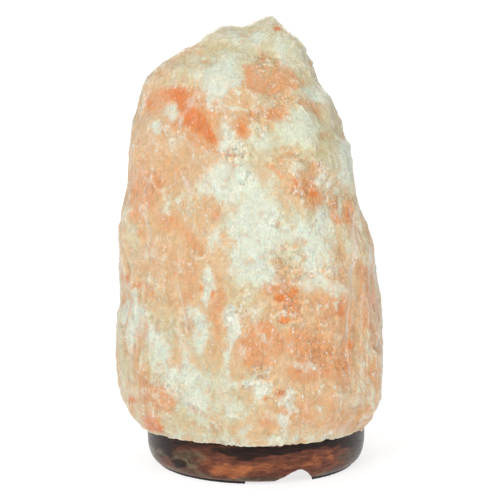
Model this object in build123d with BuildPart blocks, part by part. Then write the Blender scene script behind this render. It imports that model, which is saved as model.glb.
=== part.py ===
from build123d import *
import math
import os

# Salt crystal lamp: a drilled block of rock salt, screwed onto a turned wooden
# base, with a sprung bulb holder that pushes up into the bore from below.
# Millimetres. +Z is up, the front faces -Y, and the origin is on the axis of
# the base, in the plane that the lamp stands on.

# ---- driving dimensions -------------------------------------------------
FELT_T = 1.2            # felt ring under the base
FELT_R_OUT = 47.6
FELT_R_IN = 33.0
FELT_GAP_FROM = -6.3    # the gap round the lead notch, degrees from the front
FELT_GAP_TO = 33.4

BASE_TOP = 20.0         # top of the wood, where the crystal stands
BASE_R = 52.5
BORE_R = 23.0           # bore through the wood
RECESS_R = 32.0         # underside recess that takes the holder plate
RECESS_TOP = 9.2
NOTCH_AZ = 22.0         # direction of the lead notch, degrees right of the front

CRYSTAL_BORE_R = 23.5
CRYSTAL_BORE_TOP = 112.0
CRYSTAL_BORE_FILLET = 9.0

SCREW_RING_R = 41.0     # three wood screws up into the crystal
SCREW_ANGLES = (-8.0, 112.0, 232.0)
SCREW_R = 2.0
SCREW_HEAD_R = 4.0
SCREW_HEAD_Z = 2.2
SCREW_NECK_Z = 4.4
SCREW_TIP_Z = 38.0

PLATE_R = 30.0          # steel disc of the bulb holder
PLATE_T = 1.0
PLATE_TOP = RECESS_TOP
STRIP_T = 0.6           # spring strip
STRIP_W = 9.0
BEND_X = 15.4           # where the spring strip turns up into its wings
WING_GAP = 0.10

NIPPLE_R = 5.0          # M10x1 tube
NIPPLE_BORE = 3.6
NIPPLE_FROM = 3.9
NIPPLE_TO = 18.0
NUT_AF = 14.0
NUT_T = 3.0
WASHER_T = 0.8

SOCKET_R = 13.5
SOCKET_FROM = 9.8
SOCKET_SPLIT = 28.0
SOCKET_TO = 56.0
SHELL_R_IN = 7.0        # E14 screw shell, the crest of the cap is 6.93
SHELL_R_OUT = 7.4
CAP_R = 6.93

BULB_R = 12.0
BULB_TOP = 97.3

os.makedirs("parts", exist_ok=True)


def polar(radius, degrees):
    a = math.radians(degrees)
    return radius * math.cos(a), radius * math.sin(a)


def front(radius, azimuth):
    """A point at an azimuth counted from the front (-Y) towards +X."""
    a = math.radians(azimuth)
    return radius * math.sin(a), -radius * math.cos(a)


# ---- salt crystal ---------------------------------------------------------
# Horizontal sections of the rough block: height, left, right, front, back.
CRYSTAL_SECTIONS = [
    (20.0, -58.6, 56.4, -59.3, 56.5),
    (24.5, -62.2, 58.6, -61.6, 58.4),
    (31.0, -65.9, 60.9, -62.6, 59.6),
    (44.0, -67.7, 61.3, -62.3, 59.2),
    (64.0, -67.6, 61.1, -60.4, 57.6),
    (84.0, -65.6, 59.4, -57.8, 55.8),
    (103.0, -66.2, 56.6, -55.6, 54.0),
    (117.0, -65.2, 52.6, -53.6, 52.2),
    (131.0, -61.9, 47.5, -51.4, 49.6),
    (150.0, -60.4, 45.2, -47.8, 45.8),
    (164.0, -58.7, 41.0, -44.0, 42.2),
    (177.0, -55.2, 34.4, -39.0, 37.6),
    (186.0, -51.2, 28.6, -34.6, 33.6),
    (193.0, -42.8, 26.6, -29.4, 28.6),
    (200.0, -29.8, 23.0, -23.2, 22.4),
    (205.5, -23.0, 17.8, -17.0, 16.2),
    (209.0, -14.2, 13.0, -10.4, 9.4),
    (213.4, 3.0, 10.0, -3.0, 3.0),
]
# The shape of a section: corners of the block round its outline, as
# (angle, reach), where a reach of 1 is a plain ellipse.
CRYSTAL_CORNERS = [
    (0, 1.00), (21, 1.03), (43, 1.06), (66, 1.02), (88, 0.99), (109, 1.03),
    (133, 1.07), (157, 1.03), (180, 1.00), (203, 1.04), (226, 1.05),
    (247, 1.01), (264, 1.00), (284, 1.00), (307, 1.05), (333, 1.05),
]


def crystal_outline(level):
    z, left, right, near, far = CRYSTAL_SECTIONS[level]
    cx, cy = 0.5 * (left + right), 0.5 * (near + far)
    hx, hy = 0.5 * (right - left), 0.5 * (far - near)
    points = []
    for k, (angle, reach) in enumerate(CRYSTAL_CORNERS):
        turn = angle + 3.0 * math.sin(1.7 * level + 0.9 * k)
        uneven = 1.0 + 0.022 * math.sin(2.3 * level + 4.1 * k) + 0.014 * math.sin(
            3.7 * level - 2.2 * k
        )
        if angle in (0, 180):
            uneven = 1.0
        if level in (0, len(CRYSTAL_SECTIONS) - 1):
            turn, uneven = angle, 1.0
        a = math.radians(turn)
        x = cx + hx * max(-1.0, min(1.0, reach * uneven * math.cos(a)))
        y = cy + hy * max(-1.0, min(1.0, reach * uneven * math.sin(a)))
        points.append((x, y))
    return points


with BuildPart() as salt_crystal:
    for level in range(len(CRYSTAL_SECTIONS)):
        with BuildSketch(Plane.XY.offset(CRYSTAL_SECTIONS[level][0])):
            with BuildLine():
                Polyline(*crystal_outline(level), close=True)
            make_face()
    loft(ruled=True)
    # bore for the bulb, with a rounded end as a core drill leaves it
    with BuildSketch(Plane.XZ):
        with BuildLine():
            Polyline(
                (0, CRYSTAL_BORE_TOP),
                (0, BASE_TOP - 1),
                (CRYSTAL_BORE_R, BASE_TOP - 1),
                (CRYSTAL_BORE_R, CRYSTAL_BORE_TOP - CRYSTAL_BORE_FILLET),
            )
            RadiusArc(
                (CRYSTAL_BORE_R, CRYSTAL_BORE_TOP - CRYSTAL_BORE_FILLET),
                (CRYSTAL_BORE_R - CRYSTAL_BORE_FILLET, CRYSTAL_BORE_TOP),
                -CRYSTAL_BORE_FILLET,
            )
            Line(
                (CRYSTAL_BORE_R - CRYSTAL_BORE_FILLET, CRYSTAL_BORE_TOP),
                (0, CRYSTAL_BORE_TOP),
            )
        make_face()
    revolve(axis=Axis.Z, mode=Mode.SUBTRACT)
    # pilot holes for the wood screws
    with BuildSketch(Plane.XY.offset(BASE_TOP)):
        with Locations(*[polar(SCREW_RING_R, a) for a in SCREW_ANGLES]):
            Circle(SCREW_R + 0.05)
    extrude(amount=SCREW_TIP_Z + 0.6 - BASE_TOP, mode=Mode.SUBTRACT)
salt_crystal.part.label = "salt_crystal"
export_step(salt_crystal.part, "parts/salt_crystal.step")


# ---- wooden base ------------------------------------------------------------
notch_right = Vector(*front(1, NOTCH_AZ + 90), 0)
notch_plane = Plane(
    origin=(*front(30.0, NOTCH_AZ), 0), x_dir=notch_right, z_dir=Vector(*front(1, NOTCH_AZ), 0)
)
# The notch is cut by hand: a long slope on its left, a steep flank on its right.
NOTCH_PROFILE = [
    (-10.4, 1.2), (-8.6, 2.2), (-6.8, 3.25), (-5.0, 4.5), (-3.2, 5.6),
    (-1.2, 6.4), (0.7, 6.7), (2.7, 6.4), (4.6, 5.2), (6.0, 3.4), (6.9, 1.8), (7.2, 1.2),
]
notch_up = notch_plane.y_dir.Z  # the plane's own Y may point up or down

with BuildPart() as wooden_base:
    with BuildSketch(Plane.XZ):
        with BuildLine():
            Polyline(
                (RECESS_R, FELT_T),
                (48.3, FELT_T),
                (49.9, 2.2),
                (51.0, 4.0),
                (51.9, 6.6),
                (52.35, 9.6),
                (BASE_R, 12.5),
                (BASE_R, BASE_TOP - 0.8),
                (BASE_R - 0.8, BASE_TOP),
                (BORE_R, BASE_TOP),
                (BORE_R, RECESS_TOP),
                (RECESS_R, RECESS_TOP),
                close=True,
            )
        make_face()
    revolve(axis=Axis.Z)
    # notch and channel for the lead, from the rim to the recess
    with BuildSketch(notch_plane):
        with BuildLine():
            top = Spline(*[(s, z * notch_up) for s, z in NOTCH_PROFILE])
            Polyline(
                top @ 1,
                (NOTCH_PROFILE[-1][0], 0.2 * notch_up),
                (NOTCH_PROFILE[0][0], 0.2 * notch_up),
                top @ 0,
            )
        make_face()
    extrude(amount=28.0, mode=Mode.SUBTRACT)
    # countersunk screw holes
    for a in SCREW_ANGLES:
        x, y = polar(SCREW_RING_R, a)
        with BuildSketch(Plane(origin=(x, y, 0), x_dir=(1, 0, 0), z_dir=(0, -1, 0))):
            with BuildLine():
                Polyline(
                    (0, FELT_T - 0.5),
                    (SCREW_HEAD_R + 0.15, FELT_T - 0.5),
                    (SCREW_HEAD_R + 0.15, SCREW_HEAD_Z + 0.35),
                    (SCREW_R + 0.15, SCREW_NECK_Z + 0.2),
                    (SCREW_R + 0.15, BASE_TOP + 1),
                    (0, BASE_TOP + 1),
                    close=True,
                )
            make_face()
        revolve(axis=Axis((x, y, 0), (0, 0, 1)), mode=Mode.SUBTRACT)
wooden_base.part.label = "wooden_base"
export_step(wooden_base.part, "parts/wooden_base.step")


# ---- wood screws ------------------------------------------------------------
with BuildPart() as base_screws:
    for a in SCREW_ANGLES:
        x, y = polar(SCREW_RING_R, a)
        with BuildSketch(Plane(origin=(x, y, 0), x_dir=(1, 0, 0), z_dir=(0, -1, 0))):
            with BuildLine():
                Polyline(
                    (0, SCREW_HEAD_Z),
                    (SCREW_HEAD_R - 0.3, SCREW_HEAD_Z),
                    (SCREW_HEAD_R, SCREW_HEAD_Z + 0.3),
                    (SCREW_R, SCREW_NECK_Z + 0.1),
                    (SCREW_R, SCREW_TIP_Z - 5.0),
                    (0.3, SCREW_TIP_Z),
                    (0, SCREW_TIP_Z),
                    close=True,
                )
            make_face()
        revolve(axis=Axis((x, y, 0), (0, 0, 1)))
    # cross recess
    with BuildSketch(Plane.XY.offset(SCREW_HEAD_Z)):
        for a in SCREW_ANGLES:
            with Locations(polar(SCREW_RING_R, a)):
                Rectangle(3.8, 0.9, rotation=a)
                Rectangle(3.8, 0.9, rotation=a + 90)
    extrude(amount=1.3, mode=Mode.SUBTRACT)
base_screws.part.label = "base_screws"
export_step(base_screws.part, "parts/base_screws.step")


# ---- felt ring ----------------------------------------------------------------
with BuildPart() as felt_ring:
    with BuildSketch(Plane.XY):
        Circle(FELT_R_OUT)
        Circle(FELT_R_IN, mode=Mode.SUBTRACT)
        with BuildLine():
            Polyline(
                (0, 0),
                front(70, FELT_GAP_FROM),
                front(75, 0.5 * (FELT_GAP_FROM + FELT_GAP_TO)),
                front(70, FELT_GAP_TO),
                close=True,
            )
        make_face(mode=Mode.SUBTRACT)
    extrude(amount=FELT_T)
felt_ring.part.label = "felt_ring"
export_step(felt_ring.part, "parts/felt_ring.step")


# ---- bulb holder: plate and spring strip ------------------------------------
with BuildPart() as holder_plate:
    with BuildSketch(Plane.XY.offset(PLATE_TOP - PLATE_T)):
        Circle(PLATE_R)
        Circle(NIPPLE_R + 0.05, mode=Mode.SUBTRACT)
        # two vent slots each side
        with PolarLocations(19.5, 2, start_angle=90):
            SlotOverall(16.0, 4.0, rotation=90, mode=Mode.SUBTRACT)
    extrude(amount=PLATE_T)
    # turned-down rim lip
    with BuildSketch(Plane.XY.offset(PLATE_TOP - PLATE_T - 0.9)):
        Circle(PLATE_R)
        Circle(PLATE_R - 0.8, mode=Mode.SUBTRACT)
    extrude(amount=0.9)
holder_plate.part.label = "holder_plate"
export_step(holder_plate.part, "parts/holder_plate.step")

with BuildPart() as spring_bridge:
    with BuildSketch(Plane.XY.offset(PLATE_TOP)):
        Rectangle(2 * (BEND_X - 0.5 * STRIP_T - WING_GAP), STRIP_W)
        Circle(9.5)
        Circle(NIPPLE_R + 0.05, mode=Mode.SUBTRACT)
    extrude(amount=STRIP_T)
spring_bridge.part.label = "spring_bridge"
export_step(spring_bridge.part, "parts/spring_bridge.step")

# The wings: leaf springs that rise from the plate, bow out to the wall of the
# bore and turn in again at the tip. Points of the strip's middle line.
WING_LINE = [
    (15.4, 9.62), (16.9, 9.75), (18.2, 10.5), (19.4, 12.3), (20.45, 15.4), (21.3, 19.6),
    (21.8, 23.8), (21.65, 28.5), (20.9, 33.5), (19.95, 38.0), (19.5, 41.2), (19.9, 44.0),
]


def strip_sides(line, half):
    """The two sides of a strip that follows a line of points."""
    left, right = [], []
    for i, (x, z) in enumerate(line):
        ax, az = line[max(i - 1, 0)]
        bx, bz = line[min(i + 1, len(line) - 1)]
        d = math.hypot(bx - ax, bz - az)
        nx, nz = -(bz - az) / d, (bx - ax) / d
        left.append((x + half * nx, z + half * nz))
        right.append((x - half * nx, z - half * nz))
    return left, right


wing_in, wing_out = strip_sides(WING_LINE, 0.5 * STRIP_T)

for side, name in ((1, "clip_wing_right"), (-1, "clip_wing_left")):
    with BuildPart() as wing:
        with BuildSketch(Plane.XZ):
            with BuildLine():
                inner = Spline(*[(side * x, z) for x, z in wing_in])
                outer = Spline(*[(side * x, z) for x, z in wing_out])
                ThreePointArc(
                    inner @ 0, (side * (BEND_X - 0.5 * STRIP_T), WING_LINE[0][1]), outer @ 0
                )
                Line(inner @ 1, outer @ 1)
            make_face()
        extrude(amount=0.5 * STRIP_W, both=True)
    wing.part.label = name
    export_step(wing.part, "parts/" + name + ".step")


# ---- nipple, nut, washer and bushing -----------------------------------------
with BuildPart() as threaded_nipple:
    with BuildSketch(Plane.XY.offset(NIPPLE_FROM)):
        Circle(NIPPLE_R)
        Circle(NIPPLE_BORE, mode=Mode.SUBTRACT)
    extrude(amount=NIPPLE_TO - NIPPLE_FROM)
    chamfer(threaded_nipple.edges().filter_by(GeomType.CIRCLE).group_by(Axis.Z)[0].sort_by(SortBy.RADIUS)[-1], 0.4)
threaded_nipple.part.label = "threaded_nipple"
export_step(threaded_nipple.part, "parts/threaded_nipple.step")

WASHER_Z = PLATE_TOP - PLATE_T - WASHER_T
with BuildPart() as lock_washer:
    with BuildSketch(Plane.XY.offset(WASHER_Z)):
        Circle(8.6)
        Circle(NIPPLE_R + 0.05, mode=Mode.SUBTRACT)
        with PolarLocations(8.6, 12):
            Rectangle(2.2, 1.5, rotation=12, mode=Mode.SUBTRACT)
    extrude(amount=WASHER_T)
lock_washer.part.label = "lock_washer"
export_step(lock_washer.part, "parts/lock_washer.step")

with BuildPart() as nipple_nut:
    with BuildSketch(Plane.XY.offset(WASHER_Z - NUT_T)):
        RegularPolygon(0.5 * NUT_AF, 6, major_radius=False)
        Circle(NIPPLE_R + 0.05, mode=Mode.SUBTRACT)
    extrude(amount=NUT_T)
    # corners turned down on the outer face
    with BuildSketch(Plane.XZ):
        with BuildLine():
            Polyline((7.1, 3.9), (9.0, 3.9), (9.0, 5.0), close=True)
        make_face()
    revolve(axis=Axis.Z, mode=Mode.SUBTRACT)
nipple_nut.part.label = "nipple_nut"
export_step(nipple_nut.part, "parts/nipple_nut.step")

BUSHING_BORE = 3.0
with BuildPart() as cord_bushing:
    with BuildSketch(Plane.XZ):
        with BuildLine():
            Polyline(
                (BUSHING_BORE, 2.6),
                (5.2, 2.6),
                (5.7, 3.1),
                (5.7, 3.85),
                (3.55, 3.85),
                (3.55, 9.0),
                (BUSHING_BORE, 9.0),
                close=True,
            )
        make_face()
    revolve(axis=Axis.Z)
cord_bushing.part.label = "cord_bushing"
export_step(cord_bushing.part, "parts/cord_bushing.step")


# ---- lampholder (E14) ----------------------------------------------------------
with BuildPart() as socket_base_cap:
    with BuildSketch(Plane.XZ):
        with BuildLine():
            Polyline(
                (NIPPLE_R + 0.05, SOCKET_FROM),
                (11.6, SOCKET_FROM),
                (12.9, SOCKET_FROM + 1.3),
                (SOCKET_R, SOCKET_FROM + 4.0),
                (SOCKET_R, SOCKET_SPLIT),
                (11.9, SOCKET_SPLIT),
                (11.9, SOCKET_FROM + 5.0),
                (10.6, SOCKET_FROM + 3.2),
                (7.2, SOCKET_FROM + 3.2),
                (7.2, SOCKET_FROM + 7.4),
                (NIPPLE_R + 0.05, SOCKET_FROM + 7.4),
                close=True,
            )
        make_face()
    revolve(axis=Axis.Z)
socket_base_cap.part.label = "socket_base_cap"
export_step(socket_base_cap.part, "parts/socket_base_cap.step")

with BuildPart() as socket_sleeve:
    with BuildSketch(Plane.XZ):
        with BuildLine():
            Polyline(
                (SOCKET_R, SOCKET_SPLIT + 0.05),
                (SOCKET_R, SOCKET_SPLIT + 7.0),
                (SOCKET_R - 0.5, SOCKET_SPLIT + 7.6),
                (SOCKET_R - 0.5, SOCKET_TO - 1.0),
                (SOCKET_R - 1.5, SOCKET_TO),
                (8.3, SOCKET_TO),
                (8.3, 39.0),
                (9.3, 39.0),
                (9.3, SOCKET_TO - 1.8),
                (11.4, SOCKET_TO - 1.8),
                (11.4, 33.6),
                (11.9, 33.6),
                (11.9, SOCKET_SPLIT + 0.05),
                close=True,
            )
        make_face()
    revolve(axis=Axis.Z)
    # grip ribs round the sleeve
    with BuildSketch(Plane.XY.offset(SOCKET_SPLIT + 9.0)):
        with PolarLocations(SOCKET_R - 0.55, 24):
            Rectangle(0.9, 1.3)
    extrude(amount=14.0)
socket_sleeve.part.label = "socket_sleeve"
export_step(socket_sleeve.part, "parts/socket_sleeve.step")

with BuildPart() as screw_shell:
    with BuildSketch(Plane.XZ):
        with BuildLine():
            Polyline(
                (SHELL_R_IN, 36.2),
                (SHELL_R_OUT, 36.2),
                (SHELL_R_OUT, SOCKET_TO - 1.2),
                (SHELL_R_OUT + 0.5, SOCKET_TO - 0.8),
                (SHELL_R_OUT + 0.2, SOCKET_TO - 0.4),
                (SHELL_R_IN, SOCKET_TO - 1.0),
                close=True,
            )
        make_face()
    revolve(axis=Axis.Z)
screw_shell.part.label = "screw_shell"
export_step(screw_shell.part, "parts/screw_shell.step")

with BuildPart() as contact_insulator:
    with BuildSketch(Plane.XY.offset(27.0)):
        Circle(11.2)
    extrude(amount=6.4)
    with BuildSketch(Plane.XY.offset(33.4)):
        Circle(9.0)
        with Locations((8.6, 0)):
            Rectangle(3.4, 4.4, mode=Mode.SUBTRACT)
    extrude(amount=2.7)
    # well under the bulb for the centre contact
    with BuildSketch(Plane.XY.offset(34.0)):
        Circle(5.6)
    extrude(amount=2.5, mode=Mode.SUBTRACT)
    # slot for the side contact
    with BuildSketch(Plane.XY.offset(26.0)):
        with Locations((8.0, 0)):
            Rectangle(1.4, 4.4)
    extrude(amount=8.0, mode=Mode.SUBTRACT)
    # slot for the centre contact's leg
    with BuildSketch(Plane.XY.offset(26.0)):
        with Locations((-4.6, 0)):
            Rectangle(1.2, 4.4)
    extrude(amount=8.5, mode=Mode.SUBTRACT)
contact_insulator.part.label = "contact_insulator"
export_step(contact_insulator.part, "parts/contact_insulator.step")

with BuildPart() as centre_contact:
    with BuildSketch(Plane.XZ):
        with BuildLine():
            Polyline(
                (-4.8, 26.2),
                (-4.8, 34.5),
                (-1.4, 36.5),
                (1.4, 36.5),
                (3.2, 35.7),
                (3.0, 35.3),
                (1.3, 36.1),
                (-1.3, 36.1),
                (-4.4, 34.25),
                (-4.4, 26.2),
                close=True,
            )
        make_face()
    extrude(amount=1.9, both=True)
centre_contact.part.label = "centre_contact"
export_step(centre_contact.part, "parts/centre_contact.step")

with BuildPart() as side_contact:
    with BuildSketch(Plane.XY.offset(26.2)):
        with Locations((7.75, 0)):
            Rectangle(0.5, 3.8)
    extrude(amount=18.0)
side_contact.part.label = "side_contact"
export_step(side_contact.part, "parts/side_contact.step")

with BuildPart() as terminal_blocks:
    with BuildSketch(Plane.XY.offset(21.2)):
        with Locations((7.6, 0), (-5.4, 0)):
            Rectangle(5.6, 4.6)
    extrude(amount=5.0)
    with BuildSketch(Plane.XY.offset(21.2)):
        with Locations((7.6, 0), (-5.4, 0)):
            Circle(1.55)
    extrude(amount=4.0, mode=Mode.SUBTRACT)
terminal_blocks.part.label = "terminal_blocks"
export_step(terminal_blocks.part, "parts/terminal_blocks.step")

with BuildPart() as terminal_screws:
    with BuildSketch(Plane.XY.offset(19.8)):
        with Locations((7.6, 0), (-5.4, 0)):
            Circle(2.3)
    extrude(amount=1.35)
    with BuildSketch(Plane.XY.offset(21.15)):
        with Locations((7.6, 0), (-5.4, 0)):
            Circle(1.5)
    extrude(amount=3.6)
    with BuildSketch(Plane.XY.offset(19.8)):
        with Locations((7.6, 0), (-5.4, 0)):
            Rectangle(4.8, 0.6, rotation=35)
    extrude(amount=0.7, mode=Mode.SUBTRACT)
terminal_screws.part.label = "terminal_screws"
export_step(terminal_screws.part, "parts/terminal_screws.step")


# ---- bulb (small pygmy lamp, E14) ---------------------------------------------
with BuildPart() as bulb_tip_contact:
    with BuildSketch(Plane.XZ):
        with BuildLine():
            Polyline((0, 36.6), (1.5, 36.6), (2.2, 37.0), (2.2, 37.6), (0, 37.6), close=True)
        make_face()
    revolve(axis=Axis.Z)
bulb_tip_contact.part.label = "bulb_tip_contact"
export_step(bulb_tip_contact.part, "parts/bulb_tip_contact.step")

with BuildPart() as bulb_cap_insulator:
    with BuildSketch(Plane.XZ):
        with BuildLine():
            Polyline(
                (2.4, 37.2), (5.1, 38.6), (5.7, 39.4), (5.7, 40.6), (0, 40.6), (0, 37.75), (2.4, 37.75),
                close=True,
            )
        make_face()
    revolve(axis=Axis.Z)
bulb_cap_insulator.part.label = "bulb_cap_insulator"
export_step(bulb_cap_insulator.part, "parts/bulb_cap_insulator.step")

with BuildPart() as bulb_cap:
    with BuildSketch(Plane.XZ):
        with BuildLine():
            Polyline(
                (5.75, 39.2),
                (6.1, 39.4),
                (CAP_R, 40.8),
                (CAP_R, 55.6),
                (6.55, 55.6),
                (6.55, 41.2),
                (5.75, 40.4),
                close=True,
            )
        make_face()
    revolve(axis=Axis.Z)
bulb_cap.part.label = "bulb_cap"
export_step(bulb_cap.part, "parts/bulb_cap.step")

BULB_PROFILE = [
    (6.5, 51.0), (6.5, 56.6), (7.3, 58.6), (9.0, 61.6), (10.9, 66.0), (11.8, 71.0), (12.0, 77.0),
    (11.9, 83.5), (11.0, 89.0), (9.0, 93.2), (6.0, 96.0), (3.0, 97.1), (0.0, BULB_TOP),
]
BULB_INSIDE = [
    (5.8, 51.0), (5.8, 56.9), (6.7, 59.0), (8.35, 62.0), (10.2, 66.3), (11.1, 71.1), (11.3, 77.0),
    (11.2, 83.3), (10.35, 88.6), (8.5, 92.5), (5.7, 95.3), (2.9, 96.4), (0.0, BULB_TOP - 0.7),
]
with BuildPart() as bulb_glass:
    with BuildSketch(Plane.XZ):
        with BuildLine():
            outside = Spline(*BULB_PROFILE, tangents=((0, 1), (-1, 0)))
            inside = Spline(*BULB_INSIDE, tangents=((0, 1), (-1, 0)))
            Line(outside @ 0, inside @ 0)
            Line(outside @ 1, inside @ 1)
        make_face()
    revolve(axis=Axis.Z)
bulb_glass.part.label = "bulb_glass"
export_step(bulb_glass.part, "parts/bulb_glass.step")

with BuildPart() as bulb_stem:
    with BuildSketch(Plane.XZ):
        with BuildLine():
            Polyline(
                (0, 50.8), (5.6, 50.8), (5.6, 52.0), (3.4, 54.6), (2.6, 57.0), (2.3, 64.5), (1.1, 66.0),
                (0.9, 70.0), (1.4, 71.0), (0, 71.8),
                close=True,
            )
        make_face()
    revolve(axis=Axis.Z)
    for s in (-1, 1):
        # where the lead wires run up beside the press of the stem
        with BuildSketch(Plane.XY.offset(60.0)):
            with Locations((s * 1.75, 0)):
                Circle(0.32)
        extrude(amount=8.0, mode=Mode.SUBTRACT)
bulb_stem.part.label = "bulb_stem"
export_step(bulb_stem.part, "parts/bulb_stem.step")

FILAMENT_Z = 80.0
FILAMENT_R = 4.6
with BuildPart() as lead_wires:
    for s in (-1, 1):
        end = (
            s * FILAMENT_R * math.sin(math.radians(42)),
            -FILAMENT_R * math.cos(math.radians(42)),
        )
        with BuildLine() as lead_path:
            FilletPolyline(
                (s * 1.75, 0, 60.4), (s * 1.75, 0, 68.0), (end[0], end[1], FILAMENT_Z - 0.55), radius=2.0
            )
        with BuildSketch(Plane(origin=lead_path.line @ 0, z_dir=lead_path.line % 0)):
            Circle(0.28)
        sweep(path=lead_path.line)
lead_wires.part.label = "lead_wires"
export_step(lead_wires.part, "parts/lead_wires.step")

with BuildPart() as filament:
    with BuildLine(Plane.XY.offset(FILAMENT_Z)) as filament_path:
        CenterArc((0, 0), FILAMENT_R, -48, 276)
    with BuildSketch(Plane(origin=filament_path.line @ 0, z_dir=filament_path.line % 0)):
        Circle(0.26)
    sweep(path=filament_path.line)
filament.part.label = "filament"
export_step(filament.part, "parts/filament.step")

with BuildPart() as filament_supports:
    for a in (30.0, 90.0, 150.0):
        x, y = polar(FILAMENT_R, a)
        bx, by = polar(1.15, a)
        with BuildLine() as support_path:
            FilletPolyline(
                (bx * 1.35, by * 1.35, 70.6), (x * 0.55, y * 0.55, 74.0), (x, y, FILAMENT_Z - 0.5), radius=2.0
            )
        with BuildSketch(Plane(origin=support_path.line @ 0, z_dir=support_path.line % 0)):
            Circle(0.15)
        sweep(path=support_path.line)
filament_supports.part.label = "filament_supports"
export_step(filament_supports.part, "parts/filament_supports.step")
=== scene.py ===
import math

import bmesh
import bpy
import numpy as np
from mathutils import Matrix, Vector
from mathutils.kdtree import KDTree


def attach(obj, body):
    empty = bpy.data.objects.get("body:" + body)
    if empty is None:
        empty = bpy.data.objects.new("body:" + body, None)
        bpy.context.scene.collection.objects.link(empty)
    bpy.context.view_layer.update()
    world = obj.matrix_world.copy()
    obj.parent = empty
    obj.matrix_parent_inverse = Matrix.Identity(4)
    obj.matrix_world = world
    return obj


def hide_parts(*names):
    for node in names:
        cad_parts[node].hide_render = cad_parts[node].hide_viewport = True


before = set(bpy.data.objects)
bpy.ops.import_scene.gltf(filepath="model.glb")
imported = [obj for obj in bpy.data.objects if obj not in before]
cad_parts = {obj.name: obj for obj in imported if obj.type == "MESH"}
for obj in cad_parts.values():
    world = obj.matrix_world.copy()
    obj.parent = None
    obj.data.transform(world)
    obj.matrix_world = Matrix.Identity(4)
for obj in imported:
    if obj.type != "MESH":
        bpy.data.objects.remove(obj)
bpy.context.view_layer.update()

QUICK = bool(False)
scene = bpy.context.scene
MM = 0.001

# ---------------------------------------------------------------------------
# Camera: the photograph's view, from a little above, close to level at the tip
# ---------------------------------------------------------------------------
CAM = np.array([-2.9, -918.1, 245.3])  # mm
PITCH = math.radians(8.87)
cam_data = bpy.data.cameras.new("camera")
cam_data.lens = 139.97
cam_data.sensor_width = 36.0
cam_data.clip_start = 0.05
cam_data.clip_end = 20.0
cam = bpy.data.objects.new("camera", cam_data)
scene.collection.objects.link(cam)
cam.location = Vector(CAM * MM)
cam.rotation_euler = (math.radians(90) - PITCH, 0.0, 0.0)
scene.camera = cam

# ---------------------------------------------------------------------------
# Seeded noise in numpy
# ---------------------------------------------------------------------------


def _hash(ix, iy, iz, seed):
    h = (
        ix.astype(np.uint32) * np.uint32(374761393)
        + iy.astype(np.uint32) * np.uint32(668265263)
        + iz.astype(np.uint32) * np.uint32(2147483647)
        + np.uint32((seed * 974634777 + 12345) & 0xFFFFFFFF)
    )
    h ^= h >> np.uint32(13)
    h *= np.uint32(1274126177)
    h ^= h >> np.uint32(16)
    h *= np.uint32(2246822519)
    h ^= h >> np.uint32(15)
    return h


def _unit(h):
    return h.astype(np.float64) / 4294967295.0


def perlin(p, seed=0):
    """Gradient noise, about -1 to 1, at points (n, 3)."""
    i = np.floor(p).astype(np.int64)
    f = p - i
    u = f * f * f * (f * (f * 6 - 15) + 10)
    out = np.zeros(len(p))
    for dx in (0, 1):
        wx = u[:, 0] if dx else 1 - u[:, 0]
        for dy in (0, 1):
            wy = u[:, 1] if dy else 1 - u[:, 1]
            for dz in (0, 1):
                wz = u[:, 2] if dz else 1 - u[:, 2]
                h = _hash(i[:, 0] + dx, i[:, 1] + dy, i[:, 2] + dz, seed)
                gx = _unit(h) * 2 - 1
                gy = _unit(_hash(h, h, h, seed + 7)) * 2 - 1
                gz = _unit(_hash(h, h, h, seed + 13)) * 2 - 1
                g = gx * (f[:, 0] - dx) + gy * (f[:, 1] - dy) + gz * (f[:, 2] - dz)
                out += wx * wy * wz * g
    return out * 1.15


def fbm(p, octaves=4, seed=0, gain=0.5, lac=2.03):
    out, a, t = np.zeros(len(p)), 1.0, 0.0
    q = p.copy()
    for k in range(octaves):
        out += a * perlin(q, seed + 31 * k)
        t += a
        a *= gain
        q = q * lac + 17.3
    return out / t


def cells(p, seed=0):
    """Voronoi cells at unit spacing: distance to the nearest point, to the second nearest, and three random numbers of the nearest cell."""
    base = np.floor(p).astype(np.int64)
    n = len(p)
    d1 = np.full(n, 9.0)
    d2 = np.full(n, 9.0)
    r = np.zeros((n, 3))
    centre = np.zeros((n, 3))
    for dx in (-1, 0, 1):
        for dy in (-1, 0, 1):
            for dz in (-1, 0, 1):
                c = base + np.array([dx, dy, dz])
                h = _hash(c[:, 0], c[:, 1], c[:, 2], seed)
                a = _unit(h)
                b = _unit(_hash(h, h, h, seed + 3))
                e = _unit(_hash(h, h, h, seed + 5))
                q = c + np.stack([a, b, e], 1)
                d = np.sqrt(((p - q) ** 2).sum(1))
                near = d < d1
                d2 = np.where(near, d1, np.minimum(d2, d))
                d1 = np.where(near, d, d1)
                rr = np.stack([b, e, a], 1)
                r[near] = rr[near]
                centre[near] = q[near]
    return d1, d2, r, centre


def smooth(a, b, x):
    t = np.clip((x - a) / (b - a), 0.0, 1.0)
    return t * t * (3 - 2 * t)


# ---------------------------------------------------------------------------
# Small helpers for meshes and materials
# ---------------------------------------------------------------------------


def get_points(me):
    v = np.empty(len(me.vertices) * 3, np.float32)
    me.vertices.foreach_get("co", v)
    return v.reshape(-1, 3).astype(np.float64)


def set_points(me, p):
    me.vertices.foreach_set("co", p.astype(np.float32).ravel())
    me.update()


def get_normals(me):
    n = np.empty(len(me.vertices) * 3, np.float32)
    me.vertices.foreach_get("normal", n)
    return n.reshape(-1, 3).astype(np.float64)


def edges_of(me):
    e = np.empty(len(me.edges) * 2, np.int32)
    me.edges.foreach_get("vertices", e)
    return e.reshape(-1, 2)


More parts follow.
